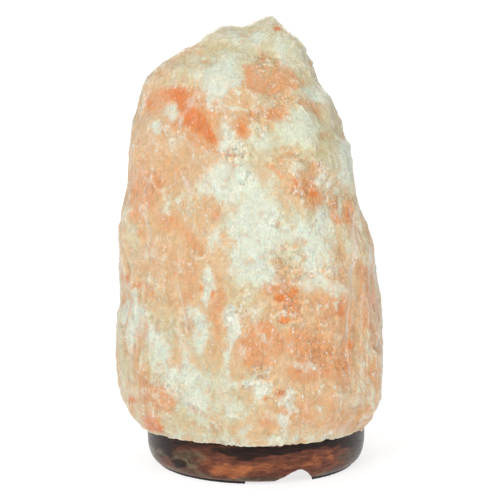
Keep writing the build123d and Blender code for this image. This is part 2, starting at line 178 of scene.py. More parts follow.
def relax(values, edges, n, rounds, amount=0.5, keep=None):
    """Laplacian smoothing of per-vertex values (n, k) over the mesh."""
    deg = np.zeros(n)
    np.add.at(deg, edges[:, 0], 1)
    np.add.at(deg, edges[:, 1], 1)
    deg = np.maximum(deg, 1)[:, None]
    v = values.copy()
    for _ in range(rounds):
        s = np.zeros_like(v)
        for k in range(v.shape[1]):
            s[:, k] = np.bincount(edges[:, 0], v[edges[:, 1], k], n) + np.bincount(
                edges[:, 1], v[edges[:, 0], k], n
            )
        step = (s / deg - v) * amount
        if keep is not None:
            step *= keep[:, None]
        v += step
    return v


def shade_smooth(me, on=True):
    me.polygons.foreach_set("use_smooth", np.full(len(me.polygons), on))
    me.update()


class Mat:
    """A small builder for node materials."""

    def __init__(self, name):
        self.m = bpy.data.materials.new(name)
        self.m.use_nodes = True
        self.t = self.m.node_tree
        self.t.nodes.clear()
        self.out = self.t.nodes.new("ShaderNodeOutputMaterial")
        self.b = self.t.nodes.new("ShaderNodeBsdfPrincipled")
        self.t.links.new(self.b.outputs[0], self.out.inputs[0])

    def new(self, kind, **props):
        n = self.t.nodes.new(kind)
        for k, v in props.items():
            setattr(n, k, v)
        return n

    def link(self, a, b):
        self.t.links.new(a, b)

    def put(self, socket, value):
        if isinstance(value, bpy.types.NodeSocket):
            self.link(value, socket)
        else:
            socket.default_value = value

    def set(self, name, value):
        self.put(self.b.inputs[name], value)

    def coord(self, which="Object"):
        return self.new("ShaderNodeTexCoord").outputs[which]

    def mapping(self, vec, scale=(1, 1, 1), loc=(0, 0, 0), rot=(0, 0, 0)):
        n = self.new("ShaderNodeMapping")
        self.link(vec, n.inputs["Vector"])
        n.inputs["Scale"].default_value = scale
        n.inputs["Location"].default_value = loc
        n.inputs["Rotation"].default_value = rot
        return n.outputs[0]

    def noise(self, vec, scale, detail=4.0, rough=0.5, distort=0.0, out="Fac"):
        n = self.new("ShaderNodeTexNoise")
        self.link(vec, n.inputs["Vector"])
        n.inputs["Scale"].default_value = scale
        n.inputs["Detail"].default_value = detail
        n.inputs["Roughness"].default_value = rough
        n.inputs["Distortion"].default_value = distort
        return n.outputs[out]

    def voronoi(self, vec, scale, feature="F1", out="Distance", rand=1.0):
        n = self.new("ShaderNodeTexVoronoi", feature=feature)
        self.link(vec, n.inputs["Vector"])
        n.inputs["Scale"].default_value = scale
        n.inputs["Randomness"].default_value = rand
        return n.outputs[out]

    def math(self, op, a, b=0.0, c=0.0, clamp=False):
        n = self.new("ShaderNodeMath", operation=op, use_clamp=clamp)
        self.put(n.inputs[0], a)
        if len(n.inputs) > 1:
            self.put(n.inputs[1], b)
        if len(n.inputs) > 2:
            self.put(n.inputs[2], c)
        return n.outputs[0]

    def vmath(self, op, a, b=None, scale=None):
        n = self.new("ShaderNodeVectorMath", operation=op)
        self.put(n.inputs[0], a)
        if b is not None:
            self.put(n.inputs[1], b)
        if scale is not None:
            self.put(n.inputs["Scale"], scale)
        return n.outputs["Value"] if op in ("DOT_PRODUCT", "LENGTH", "DISTANCE") else n.outputs[0]

    def step(self, x, lo, hi, a=0.0, b=1.0, kind="SMOOTHSTEP"):
        n = self.new("ShaderNodeMapRange", interpolation_type=kind)
        self.put(n.inputs["Value"], x)
        n.inputs["From Min"].default_value = lo
        n.inputs["From Max"].default_value = hi
        n.inputs["To Min"].default_value = a
        n.inputs["To Max"].default_value = b
        return n.outputs["Result"]

    def mix(self, fac, a, b, blend="MIX"):
        n = self.new("ShaderNodeMix", data_type="RGBA", blend_type=blend)
        self.put(n.inputs[0], fac)
        self.put(n.inputs[6], a)
        self.put(n.inputs[7], b)
        return n.outputs[2]

    def ramp(self, fac, stops, mode="LINEAR"):
        n = self.new("ShaderNodeValToRGB")
        r = n.color_ramp
        r.interpolation = mode
        while len(r.elements) < len(stops):
            r.elements.new(0.5)
        for e, (pos, col) in zip(r.elements, stops):
            e.position = pos
            e.color = col
        self.link(fac, n.inputs[0])
        return n.outputs[0]

    def bump(self, height, strength=1.0, distance=0.001, normal=None):
        n = self.new("ShaderNodeBump")
        self.put(n.inputs["Height"], height)
        n.inputs["Strength"].default_value = strength
        n.inputs["Distance"].default_value = distance
        if normal is not None:
            self.link(normal, n.inputs["Normal"])
        return n.outputs[0]


def lin(r, g, b, a=1.0):
    """sRGB 0..255 to linear."""

    def f(c):
        c /= 255.0
        return c / 12.92 if c <= 0.04045 else ((c + 0.055) / 1.055) ** 2.4

    return (f(r), f(g), f(b), a)


def assign(node, mat):
    o = bpy.data.objects[node]
    if not o.material_slots:
        o.data.materials.append(mat)
    for s in o.material_slots:
        s.link = "OBJECT"
        s.material = mat
    return o


# ---------------------------------------------------------------------------
# The salt crystal
# ---------------------------------------------------------------------------
# The outline of the block as it shows from the front: height, left, right (mm).
OUTLINE = np.array([
    (17.0, -55.2, 53.8), (20.0, -59.8, 56.2), (21.1, -61.2, 57.0), (23.6, -62.2, 58.3), (26.1, -63.9, 59.7), (28.6, -65.1, 60.7),
    (33.5, -66.2, 60.9), (38.5, -67.0, 60.9), (48.3, -67.7, 61.2), (58.2, -67.6, 61.1),
    (68.0, -67.3, 61.0), (77.7, -65.3, 60.4), (87.5, -65.6, 58.5), (94.8, -66.0, 57.6),
    (102.0, -65.3, 56.6), (106.9, -66.1, 56.0), (111.7, -65.9, 54.4), (116.5, -65.2, 52.8),
    (121.3, -64.2, 50.3), (126.1, -63.3, 48.6), (130.9, -61.9, 47.4), (135.7, -61.3, 46.9),
    (140.5, -61.1, 46.3), (145.2, -60.7, 45.8), (150.0, -60.4, 45.1), (153.0, -60.0, 44.9), (154.8, -59.6, 44.2),
    (156.2, -59.5, 42.4), (159.5, -59.3, 41.7), (164.3, -58.6, 40.6), (169.0, -56.7, 38.5), (173.7, -55.7, 36.4), (177.5, -54.8, 34.0),
    (181.3, -53.6, 30.6), (185.0, -51.8, 28.8), (188.8, -48.9, 27.6), (192.6, -43.2, 26.6),
    (194.9, -39.6, 25.4), (197.2, -35.8, 24.4), (199.6, -30.1, 23.2), (201.9, -26.8, 21.1),
    (203.8, -25.1, 19.4), (205.2, -23.2, 17.8), (206.6, -21.0, 15.5), (207.5, -18.9, 14.6),
    (208.5, -14.6, 14.2), (209.4, -4.1, 12.6), (210.3, -2.1, 11.7), (211.3, -0.4, 10.4),
    (212.2, 1.8, 9.5), (213.1, 4.8, 8.6),
])

# The crown of the block against the sky: X, height (mm).
CROWN = np.array([
    (-42, 193.3), (-40, 194.7), (-36, 197.2), (-30, 199.6), (-26.7, 201.9), (-25.1, 203.8), (-23.2, 205.2), (-20.9, 206.6),
    (-18.9, 207.6), (-17.2, 208.5), (-14.9, 208.6), (-13.2, 209.0), (-10, 208.7), (-6.4, 208.5), (-3.8, 209.4), (-2, 210.3), (-0.5, 211.3), (1.8, 212.2),
    (4.8, 213.1), (7, 213.6), (8.8, 213.0), (10.3, 211.3), (11.8, 210.3), (12.6, 209.4), (14.5, 207.9), (15.4, 206.6), (17.8, 205.2),
    (19.4, 203.8), (21.1, 201.9), (23.2, 199.6), (24.4, 197.2), (25.4, 194.9), (26.6, 192.6),
])

# Patches of colour and frost, placed on the front of the block:
# layer, X, Z (mm, as seen from the front), half width, half height, tilt in degrees, strength.
PATCHES = []
WOOD = []


def px_place(u, v):
    """X, Z (mm) on the plane Y = 0 and the size of a unit there, for a place in the front view on a 500 by 500 frame."""
    a = PITCH + math.atan((v - 250) / 1944.0)
    z = CAM[2] + CAM[1] * math.tan(a)
    depth = -CAM[1] * math.cos(PITCH) + (CAM[2] - z) * math.sin(PITCH)
    k = depth / 1944.0
    return (u - 256) * k, z, k


def px_patch(layer, u, v, ru, rv, tilt=0.0, s=1.0, into=None):
    """A patch, given where it sits in the front view on a 500 by 500 frame."""
    x, z, k = px_place(u, v)
    (PATCHES if into is None else into).append((layer, x, z, ru * k, rv * k, -tilt, s))


O, W, D, Y, S, C = "orange", "white", "deep", "yellow", "spark", "pale"
for row in [
    # orange and peach zones
    (O, 176, 98, 27, 14, 12, 0.75), (O, 197, 126, 20, 17, 38, 0.8), (O, 153, 104, 10, 9, 0, 0.6),
    (O, 207, 111, 16, 8, 10, 0.5), (O, 243, 127, 8, 13, 0, 0.9), (O, 251, 79, 7, 14, -8, 0.9), (O, 255, 112, 6, 8, 0, 0.6),
    (O, 279, 84, 22, 12, 14, 0.66), (O, 264, 56, 6, 7, 0, 0.5), (O, 273, 112, 12, 7, 0, 0.75), (O, 313, 111, 13, 8, 10, 0.5),
    (O, 276, 29, 5, 4, 0, 0.7), (O, 302, 187, 14, 12, 0, 0.75), (O, 316, 203, 10, 6, 10, 0.6), (O, 316, 167, 8, 5, 0, 0.55),
    (O, 349, 213, 6, 13, 0, 0.75), (O, 336, 211, 4, 10, 0, 0.65), (O, 262, 176, 10, 8, 0, 0.5), (O, 268, 165, 9, 2.4, 28, 0.6),
    (O, 218, 212, 8, 8, 0, 0.62), (O, 234, 194, 6, 3, 0, 0.5), (O, 150, 165, 34, 36, 0, 0.36), (O, 146, 190, 14, 20, 0, 0.6),
    (O, 137, 215, 8, 14, 0, 0.7), (O, 168, 222, 24, 13, 12, 0.55), (O, 188, 238, 17, 10, 30, 0.58), (O, 141, 235, 10, 5, 0, 0.6),
    (O, 189, 167, 6, 5, 0, 0.45), (O, 206, 150, 15, 9, 20, 0.5), (O, 290, 150, 14, 6, 20, 0.3), (O, 229, 108, 12, 5, 15, 0.35),
    (O, 128, 278, 6, 6, 0, 0.8), (O, 139, 287, 13, 5, 20, 0.8), (O, 148, 294, 9, 5, 10, 0.6), (O, 187, 274, 18, 18, 0, 0.48),
    (O, 185, 299, 14, 11, 0, 0.52), (O, 219, 303, 8, 22, 2, 0.62), (O, 217, 330, 7, 22, 0, 0.56), (O, 210, 356, 9, 9, 0, 0.34),
    (O, 160, 250, 20, 12, 15, 0.46), (O, 282, 284, 10, 9, 0, 0.66), (O, 267, 288, 10, 6, 0, 0.7), (O, 289, 305, 18, 16, 0, 0.72),
    (O, 263, 331, 12, 10, -25, 0.85), (O, 254, 347, 17, 17, 0, 0.68), (O, 277, 345, 18, 15, 0, 0.6), (O, 325, 310, 26, 14, 0, 0.55),
    (O, 312, 342, 26, 14, 0, 0.62), (O, 317, 363, 24, 13, 0, 0.72), (O, 348, 347, 10, 10, 0, 0.85), (O, 345, 365, 13, 12, 0, 0.82),
    (O, 331, 372, 20, 10, 0, 0.72), (O, 297, 374, 15, 8, 0, 0.7), (O, 345, 383, 12, 6, 0, 0.66), (O, 282, 393, 7, 5, 0, 0.8),
    (O, 368, 300, 9, 26, 0, 0.75), (O, 361, 266, 9, 8, 0, 0.6), (O, 377, 345, 6, 24, 0, 0.65), (O, 365, 375, 5, 4, 0, 0.6),
    (O, 284, 410, 9, 5, 0, 0.55), (O, 307, 418, 8, 5, 0, 0.6), (O, 266, 422, 14, 8, 0, 0.66), (O, 300, 406, 24, 14, 0, 0.42),
    (O, 336, 397, 18, 13, 0, 0.42), (O, 156, 394, 14, 15, 30, 0.62), (O, 133, 400, 6, 6, 0, 0.7), (O, 152, 422, 12, 9, 25, 0.85),
    (O, 134, 357, 8, 14, 0, 0.4), (O, 140, 376, 6, 12, 0, 0.42), (O, 330, 423, 24, 6, -8, 0.34), (O, 189, 374, 6, 9, 0, 0.3),
    (O, 234, 424, 10, 6, 0, 0.34), (O, 343, 281, 6, 22, 0, 0.4), (O, 351, 310, 5, 24, 0, 0.42), (O, 240, 290, 8, 7, 0, 0.34),
    (O, 322, 232, 4, 4, 0, 0.4), (O, 232, 205, 5, 18, 0, 0.35), (O, 271, 246, 6, 12, 0, 0.4), (O, 285, 205, 5, 16, 0, 0.3), (O, 350, 405, 24, 16, 0, 0.3), (O, 373, 380, 8, 28, 0, 0.4), (O, 346, 424, 24, 12, -8, 0.34), (O, 366, 412, 12, 18, 0, 0.3), (O, 373, 322, 8, 28, 0, 0.35), (O, 378, 350, 4, 30, 0, 0.4), (O, 228, 240, 5, 12, 0, 0.3), (O, 334, 250, 4, 4, 0, 0.6), (O, 296, 262, 8, 5, 0, 0.34), (O, 300, 104, 10, 5, 20, 0.4),
    # deep orange to red
    (D, 177, 98, 15, 9, 14, 0.85), (D, 193, 121, 20, 9, 42, 0.84), (D, 184, 110, 13, 10, 46, 0.8), (D, 208, 134, 12, 5, 35, 0.6), (D, 209, 135, 11, 6, 35, 0.8), (D, 152, 105, 5, 6, 0, 0.5),
    (D, 243, 128, 5, 9, 0, 0.8), (D, 315, 194, 5, 4, 0, 0.95), (D, 276, 29, 3, 2.4, 0, 0.7), (D, 281, 296, 8, 6, 0, 1.0),
    (D, 293, 293, 5, 5, 0, 0.8), (D, 291, 302, 8, 6, 0, 0.7), (D, 284, 320, 9, 4, 0, 0.85), (D, 339, 311, 4, 8, 0, 0.75),
    (D, 341, 301, 3, 4, 0, 0.6), (D, 349, 345, 6, 6, 0, 0.7), (D, 344, 364, 6, 7, 0, 0.6), (D, 282, 393, 5, 3.4, 0, 0.8),
    (D, 266, 397, 3, 4, 0, 0.7), (D, 133, 400, 4, 4, 0, 0.85), (D, 151, 422, 8, 7, 30, 1.0), (D, 161, 428, 6, 4, 10, 1.0),
    (D, 127, 277, 3.4, 4, 0, 0.7), (D, 137, 286, 6, 3, 20, 0.55), (D, 212, 293, 2.6, 6, 0, 0.8), (D, 201, 288, 1.6, 4, 0, 0.7),
    (D, 176, 273, 2.2, 2.6, 0, 0.6), (D, 218, 216, 4, 4, 0, 0.4), (D, 348, 217, 3, 6, 0, 0.5), (D, 263, 331, 5, 4, 0, 0.4),
    (D, 330, 371, 7, 4, 0, 0.5), (D, 297, 372, 5, 3, 0, 0.4), (D, 297, 183, 4, 4, 0, 0.5), (D, 320, 166, 3, 3, 0, 0.3),
    # white frosted zones
    (W, 213, 82, 24, 21, 10, 1.0), (W, 224, 178, 24, 21, 0, 1.0), (W, 255, 212, 21, 34, 0, 0.85), (W, 292, 131, 27, 15, 10, 0.7),
    (W, 304, 127, 13, 10, 0, 0.85), (W, 347, 160, 9, 28, 4, 1.0), (W, 315, 97, 13, 9, 10, 0.8), (W, 246, 37, 18, 10, 0, 0.6),
    (W, 312, 44, 9, 20, 30, 0.55), (W, 155, 127, 4, 9, -20, 0.85), (W, 169, 115, 8, 7, 0, 0.8), (W, 189, 102, 4, 7, 15, 0.7),
    (W, 182, 117, 2.4, 9, 15, 0.7), (W, 239, 109, 13, 2.4, 12, 0.85), (W, 225, 137, 7, 15, 0, 0.65), (W, 236, 144, 11, 9, 0, 0.55),
    (W, 218, 233, 5, 8, 0, 0.7), (W, 325, 181, 13, 11, 0, 0.7), (W, 268, 139, 16, 10, 0, 0.6), (W, 291, 231, 24, 16, 0, 0.7),
    (W, 322, 225, 11, 14, 0, 0.65), (W, 262, 243, 28, 15, 0, 0.7), (W, 300, 236, 14, 9, 0, 0.7), (W, 320, 250, 17, 16, 0, 0.65),
    (W, 253, 271, 20, 18, 0, 0.8), (W, 313, 264, 20, 14, 0, 0.65), (W, 321, 288, 22, 9, 8, 0.7), (W, 212, 247, 6, 9, 0, 0.55),
    (W, 205, 270, 3.4, 9, 10, 0.8), (W, 209, 285, 5.4, 11, 0, 0.8), (W, 190, 314, 10, 9, 0, 0.55), (W, 201, 334, 10, 20, 0, 0.9),
    (W, 137, 320, 13, 24, -6, 1.0), (W, 135, 322, 10, 18, -6, 1.0), (W, 132, 341, 7, 10, 0, 0.8), (W, 160, 347, 12, 16, 0, 0.75), (W, 153, 330, 8, 8, 0, 0.5),
    (W, 231, 318, 6, 17, -10, 0.85), (W, 237, 331, 6, 10, 0, 0.7), (W, 228, 357, 4, 9, 0, 0.85), (W, 243, 352, 3, 11, 0, 0.4),
    (W, 170, 378, 19, 17, 20, 0.66), (W, 196, 386, 20, 18, 0, 0.62), (W, 196, 404, 15, 11, 0, 0.72), (W, 225, 399, 7, 9, 0, 0.8),
    (W, 222, 380, 14, 12, 0, 0.45), (W, 243, 429, 9, 6, 0, 0.8), (W, 261, 388, 10, 9, 0, 1.0), (W, 252, 386, 6, 7, 0, 0.9),
    (W, 239, 384, 12, 4, 0, 0.7), (W, 289, 398, 7, 11, 0, 0.75), (W, 283, 420, 5, 7, 0, 0.7), (W, 367, 357, 6, 12, 0, 0.7),
    (W, 240, 408, 16, 10, 0, 0.45), (W, 361, 405, 16, 12, 0, 0.15), (W, 360, 385, 12, 8, 0, 0.4), (W, 190, 440, 54, 7, 6, 0.5),
    (W, 300, 440, 60, 6, -5, 0.5), (W, 180, 200, 14, 10, 0, 0.35), (W, 176, 145, 12, 9, 0, 0.34), (W, 240, 245, 16, 30, 0, 0.6),
    (W, 287, 60, 8, 10, 20, 0.5), (W, 325, 85, 8, 8, 0, 0.5), (W, 228, 60, 18, 10, 0, 0.5), (W, 372, 262, 4, 14, 0, 0.6),
    (W, 355, 240, 8, 16, 0, 0.5), (W, 358, 222, 5, 10, 0, 0.3), (W, 184, 352, 6, 18, 0, 0.5), (W, 214, 410, 20, 12, 0, 0.45),
    # yellow cast
    (Y, 292, 131, 30, 18, 0, 0.8), (Y, 227, 46, 24, 9, -12, 0.6), (Y, 183, 74, 20, 14, -20, 0.7), (Y, 320, 140, 18, 14, 0, 0.7),
    (Y, 255, 60, 30, 14, 0, 0.5), (Y, 139, 288, 16, 8, 0, 0.8), (Y, 300, 150, 30, 14, 10, 0.6), (Y, 134, 225, 10, 26, 0, 0.5),
    (Y, 240, 290, 24, 16, 0, 0.4), (Y, 270, 170, 26, 14, 0, 0.5), (Y, 175, 280, 20, 30, 0, 0.3), (Y, 230, 370, 30, 20, 0, 0.3),
    (Y, 195, 400, 30, 20, 0, 0.35), (Y, 290, 45, 22, 16, 20, 0.5), (Y, 140, 375, 10, 20, 0, 0.4),
    # broad pale, greenish beige zones; the narrow upright ones along the left and right edges are a painted pale rim,
    # light showing through the thin edges
    (C, 268, 52, 60, 40, 10, 1.0), (C, 262, 30, 34, 14, 0, 0.9), (W, 285, 50, 16, 12, 20, 0.6), (W, 246, 34, 16, 8, 0, 0.5), (C, 318, 105, 26, 60, -14, 0.8), (C, 290, 140, 46, 22, 10, 0.8), (C, 226, 60, 34, 20, -20, 0.7),
    (C, 185, 74, 30, 16, -30, 0.5), (C, 290, 235, 54, 34, 0, 0.85), (C, 250, 200, 30, 60, 0, 0.8), (C, 360, 240, 14, 50, -10, 0.5),
    (C, 210, 400, 60, 30, 0, 0.75), (C, 150, 335, 26, 46, 0, 0.75), (C, 240, 290, 26, 30, 0, 0.6), (C, 123, 340, 8, 60, 0, 0.8),
    (C, 130, 230, 8, 50, 0, 0.5), (C, 360, 400, 22, 22, 0, 0.4), (C, 200, 350, 24, 40, 0, 0.5), (C, 345, 160, 14, 40, 0, 0.8),
    (C, 190, 432, 60, 12, 8, 0.6), (C, 300, 436, 60, 10, -6, 0.4), (C, 372, 345, 8, 40, 0, 0.5), (C, 180, 200, 30, 26, 0, 0.3),
    # sparkle: small cleavage faces that catch the light; these zones also set where glints are painted into the colour
    (S, 276, 100, 14, 9, 0, 1.0), (S, 262, 62, 22, 10, 10, 0.8), (S, 296, 103, 12, 7, 0, 0.9), (S, 258, 120, 9, 16, 0, 1.0),
    (S, 236, 150, 16, 9, 15, 0.8), (S, 244, 180, 8, 12, 0, 0.9), (S, 303, 187, 16, 12, 0, 1.0), (S, 327, 176, 14, 12, 0, 1.0),
    (S, 334, 200, 10, 8, 0, 0.8), (S, 348, 200, 6, 9, 0, 0.8), (S, 322, 223, 16, 12, 0, 0.7), (S, 275, 225, 18, 14, 0, 0.8),
    (S, 290, 262, 34, 16, 0, 0.8), (S, 325, 272, 14, 10, 0, 0.8), (S, 286, 302, 20, 16, 0, 1.0), (S, 302, 325, 30, 18, 0, 0.7),
    (S, 320, 352, 28, 16, 0, 0.6), (S, 262, 388, 18, 12, 0, 1.0), (S, 234, 318, 9, 14, 0, 0.9), (S, 262, 368, 18, 10, 0, 0.9),
    (S, 133, 345, 8, 14, 0, 0.6), (S, 140, 312, 8, 10, 0, 0.6), (S, 272, 432, 12, 6, 0, 0.7), (S, 205, 284, 6, 14, 0, 0.6),
    (S, 170, 380, 20, 12, 0, 0.3), (S, 345, 355, 12, 18, 0, 0.6), (S, 290, 160, 22, 12, 0, 0.6), (S, 345, 165, 8, 20, 0, 0.5),
    (S, 240, 300, 20, 14, 0, 0.4), (S, 300, 395, 26, 12, 0, 0.5),
]:
    px_patch(*row)

# flat broken faces and veins with clear edges: layer, strength, softness of the edge (mm), corners
FACES = []
for layer, s, soft, corners in [
    (O, 0.55, 0.9, [(242, 66), (257, 60), (268, 56), (290, 66), (303, 85), (293, 93), (277, 94), (246, 91)]),
    (O, 0.8, 0.5, [(242, 66), (255, 70), (256, 89), (247, 90)]),
    (D, 0.3, 0.5, [(242, 66), (253, 70), (254, 89), (247, 89)]),
    (O, 0.7, 0.7, [(262, 108), (272, 106), (283, 112), (281, 118), (268, 119), (262, 115)]),
    (O, 0.5, 0.9, [(132, 171), (156, 172), (156, 205), (146, 215), (132, 219)]),
    (O, 0.55, 2.4, [(160, 112), (196, 96), (214, 112), (219, 140), (208, 148), (176, 136)]),
    (O, 0.7, 0.8, [(257, 320), (268, 319), (274, 331), (270, 345), (262, 362), (250, 368), (243, 366), (242, 352), (247, 331)]),
    (O, 0.32, 1.4, [(276, 330), (336, 322), (352, 350), (350, 376), (320, 384), (282, 372), (262, 366)]),
    (O, 0.85, 0.5, [(330, 200), (338, 201), (339, 214), (344, 212), (347, 199), (353, 212), (353, 224), (333, 225)]),
    (W, 0.8, 0.4, [(338.5, 196), (341, 196), (341, 217), (339, 217)]),
    (O, 0.6, 0.7, [(148, 384), (160, 387), (178, 405), (172, 415), (154, 406)]),
    (O, 0.6, 0.7, [(184, 231), (190, 235), (213, 260), (209, 265), (196, 252)]),
    (D, 0.5, 0.3, [(155.3, 174), (156.8, 174), (157.2, 206), (155.6, 206)]),
    (O, 0.6, 0.6, [(362, 262), (369, 268), (370, 300), (364, 330), (359, 300)]),
    (O, 0.55, 0.8, [(340, 296), (347, 292), (352, 330), (346, 345), (340, 330)]),
    (W, 0.85, 0.6, [(206, 262), (210, 266), (212, 290), (206, 308), (202, 300), (204, 280)]),
    (W, 0.7, 0.8, [(196, 318), (206, 322), (208, 346), (200, 356), (194, 340)]),
    (W, 0.7, 0.8, [(229, 304), (235, 306), (241, 330), (232, 350), (227, 330)]),
    (W, 0.8, 0.9, [(124, 304), (141, 302), (147, 318), (138, 340), (124, 336)]),
    (W, 0.4, 0.9, [(212, 168), (236, 166), (244, 190), (230, 202), (210, 194)]),
    (W, 0.35, 0.9, [(244, 186), (262, 192), (272, 226), (262, 246), (243, 232)]),
    (W, 0.55, 0.8, [(200, 70), (222, 72), (236, 84), (224, 98), (200, 92)]),
    (O, 0.6, 0.7, [(302, 176), (312, 180), (326, 200), (316, 206), (303, 194)]),
    (D, 0.5, 0.35, [(203, 146.5), (216, 149.5), (237, 155), (236, 157), (214, 152.6), (204, 149)]),
    (O, 0.75, 0.4, [(267, 162), (276, 166), (286, 178), (282, 180), (272, 170)]),
    (D, 0.35, 0.4, [(305, 207), (313, 204), (320, 210), (312, 212)]),
    (W, 0.6, 0.4, [(262, 200), (264.5, 200), (266, 232), (262.5, 232)]),
    (O, 0.4, 0.5, [(247, 196), (251, 196), (250, 236), (246, 232)]),
    (O, 0.5, 0.8, [(236, 120), (247, 116), (252, 132), (244, 144), (237, 138)]),
]:
    FACES.append((layer, s, soft, [px_place(u, v)[:2] for u, v in corners]))

# zones of the base's front: dark is partly dark stain and smudges, and partly painted shadow cast by the overhanging
# salt along the top; bright is partly lighter wood, and partly painted light and highlights on the lower front; olive
# is the greenish end grain with painted sheen at both ends, and the thin olive lines along the bottom are a painted
# highlight on the lower bevel
for row in [
    ("dark", 165, 440, 16, 9, 20, 0.7), ("dark", 200, 448, 44, 6, 9, 0.5), ("dark", 250, 452, 34, 5, 0, 0.9), ("dark", 280, 450, 22, 5, -4, 1.0),
    ("dark", 304, 444, 16, 6, -10, 1.0), ("dark", 336, 439, 26, 7, -14, 1.0), ("dark", 356, 436, 12, 9, -20, 1.0), ("dark", 220, 444, 60, 4, 5, 0.3), ("dark", 300, 447, 50, 4, -5, 0.9), ("dark", 362, 446, 7, 16, 0, 0.55), ("dark", 350, 462, 10, 8, 0, 0.4), ("dark", 180, 463, 6, 4, 20, 1.0),
    ("dark", 172, 453, 9, 6, 0, 0.7), ("dark", 247, 459, 10, 2.4, 0, 0.5), ("dark", 150, 437, 7, 10, 0, 0.7), ("dark", 163, 449, 7, 4, 30, 0.7),
    ("bright", 229, 471, 21, 6, 3, 1.0), ("bright", 244, 468, 12, 4, 0, 0.7), ("bright", 335, 455, 5, 8, 0, 0.5), ("bright", 300, 463, 28, 6, -8, 0.36),
    ("bright", 262, 467, 20, 8, 0, 0.5), ("bright", 320, 459, 16, 6, -12, 0.3), ("bright", 208, 462, 12, 4, 8, 0.4), ("bright", 226, 464, 2.4, 1, 0, 1.0),
    ("olive", 190, 461, 15, 8, 14, 0.8), ("olive", 183, 456, 10, 6, 0, 0.5), ("olive", 160, 456, 8, 12, 0, 0.8), ("olive", 150, 446, 8, 18, 0, 1.0), ("olive", 168, 448, 14, 8, 20, 0.5), ("olive", 156, 462, 10, 8, 30, 0.7),
    ("olive", 352, 455, 12, 10, -20, 0.7), ("olive", 362, 446, 7, 16, 0, 0.9), ("dark", 358, 456, 9, 14, -20, 0.35), ("olive", 345, 468, 18, 4, -18, 0.6), ("olive", 258, 479, 34, 2.6, 0, 0.9), ("olive", 196, 473, 52, 2.4, 13, 0.7),
    ("olive", 335, 471, 22, 2.4, -13, 0.7), ("olive", 290, 453, 5, 3, 0, 0.6),
]:
    px_patch(*row, into=WOOD)

BORE_R = 23.5
BORE_TOP = 112.0
BASE_TOP = 20.0


def seen_from_front(p):
    """Where points (mm) show on the plane Y = 0 as seen from the camera."""
    t = -CAM[1] / (p[:, 1] - CAM[1])
    return CAM[0] + (p[:, 0] - CAM[0]) * t, CAM[2] + (p[:, 2] - CAM[2]) * t


def remesh(name, src, voxel):
    """A voxel remesh of a copy of a node's mesh, as a new object."""
    me = src.data.copy()
    me.materials.clear()
    o = bpy.data.objects.new(name, me)
    scene.collection.objects.link(o)
    mod = o.modifiers.new("remesh", "REMESH")
    mod.mode = "VOXEL"
    mod.voxel_size = voxel
    mod.adaptivity = 0.0
    dg = bpy.context.evaluated_depsgraph_get()
    dg.update()
    new = bpy.data.meshes.new_from_object(o.evaluated_get(dg))
    o.modifiers.clear()
    o.data = new
    return o


def planes_over(p, n, sn, count, tilt, depth, reach, seed, k=8, carve=True, limit=2.0, soft=0.0, even=0.0):
    """Planar breaks: seed points on the surface each carry a plane, tilted at random. The surface is lowered to the planes around it, so that they meet in ridges and nothing jumps."""
    rng = np.random.default_rng(seed)
    if even > 0:
        grid, chosen = {}, []
        for i in rng.permutation(len(p))[:50000]:
            c = p[i]
            key = tuple(np.floor(c / even).astype(int))
            ok = True
            for dx in (-1, 0, 1):
                for dy in (-1, 0, 1):
                    for dz in (-1, 0, 1):
                        for w in grid.get((key[0] + dx, key[1] + dy, key[2] + dz), ()):
                            if ((w - c) ** 2).sum() < even * even:
                                ok = False
            if ok:
                grid.setdefault(key, []).append(c)
                chosen.append(i)
        idx = np.array(chosen)
    else:
        idx = rng.choice(len(p), count, replace=False)
    c = p[idx]
    cn = sn[idx] + rng.normal(0, math.tan(math.radians(tilt)), (len(idx), 3))
    cn /= np.linalg.norm(cn, axis=1)[:, None]
    off = rng.uniform(depth[0], depth[1], len(idx))
    kd = KDTree(len(idx))
    for i, q in enumerate(c):
        kd.insert(q, i)
    kd.balance()
    k = min(k, len(idx))
    near = np.empty((len(p), k), np.int32)
    for i in range(len(p)):
        near[i] = [h[1] for h in kd.find_n(p[i], k)]
    d = p[:, None, :] - c[near]
    m = cn[near]
    facing = np.maximum((n[:, None, :] * m).sum(2), 0.4)
    t = -(d * m).sum(2) / facing - off[near]
    dist = np.sqrt((d * d).sum(2)) / reach
    t = t + reach * 0.22 * np.maximum(dist - 0.75, 0) ** 2
    if soft > 0:
        lo = t.min(1)
        cut = lo - soft * np.log(np.exp(-(t - lo[:, None]) / soft).sum(1))
    else:
        cut = t.min(1)
    if carve:
        cut = np.minimum(cut, 0.0)
    return np.clip(cut, -limit, limit)


def paint(patches, layers, ax, az, wx, wz, front, full):
    """Zones with warped edges, as fields from 0 to 1."""
    fields = {k: np.zeros(len(ax)) for k in layers}
    for layer, x, z, rx, rz, tilt, s in patches:
        reach = max(rx, rz) * 2.0 + 6
        sel = np.nonzero((np.abs(ax - x) < reach) & (np.abs(az - z) < reach) & (front > 0))[0]
        if not len(sel):
            continue
        small = min(1.0, min(rx, rz) / full)
        dx = ax[sel] + wx[sel] * small - x
        dz = az[sel] + wz[sel] * small - z
        a = math.radians(tilt)
        ca, sa = math.cos(a), math.sin(a)
        d = np.hypot((dx * ca + dz * sa) / rx, (-dx * sa + dz * ca) / rz)
        val = s * (1 - smooth(0.25, 1.55, d))
        f = fields[layer]
        f[sel] = 1 - (1 - f[sel]) * (1 - val)
    return fields


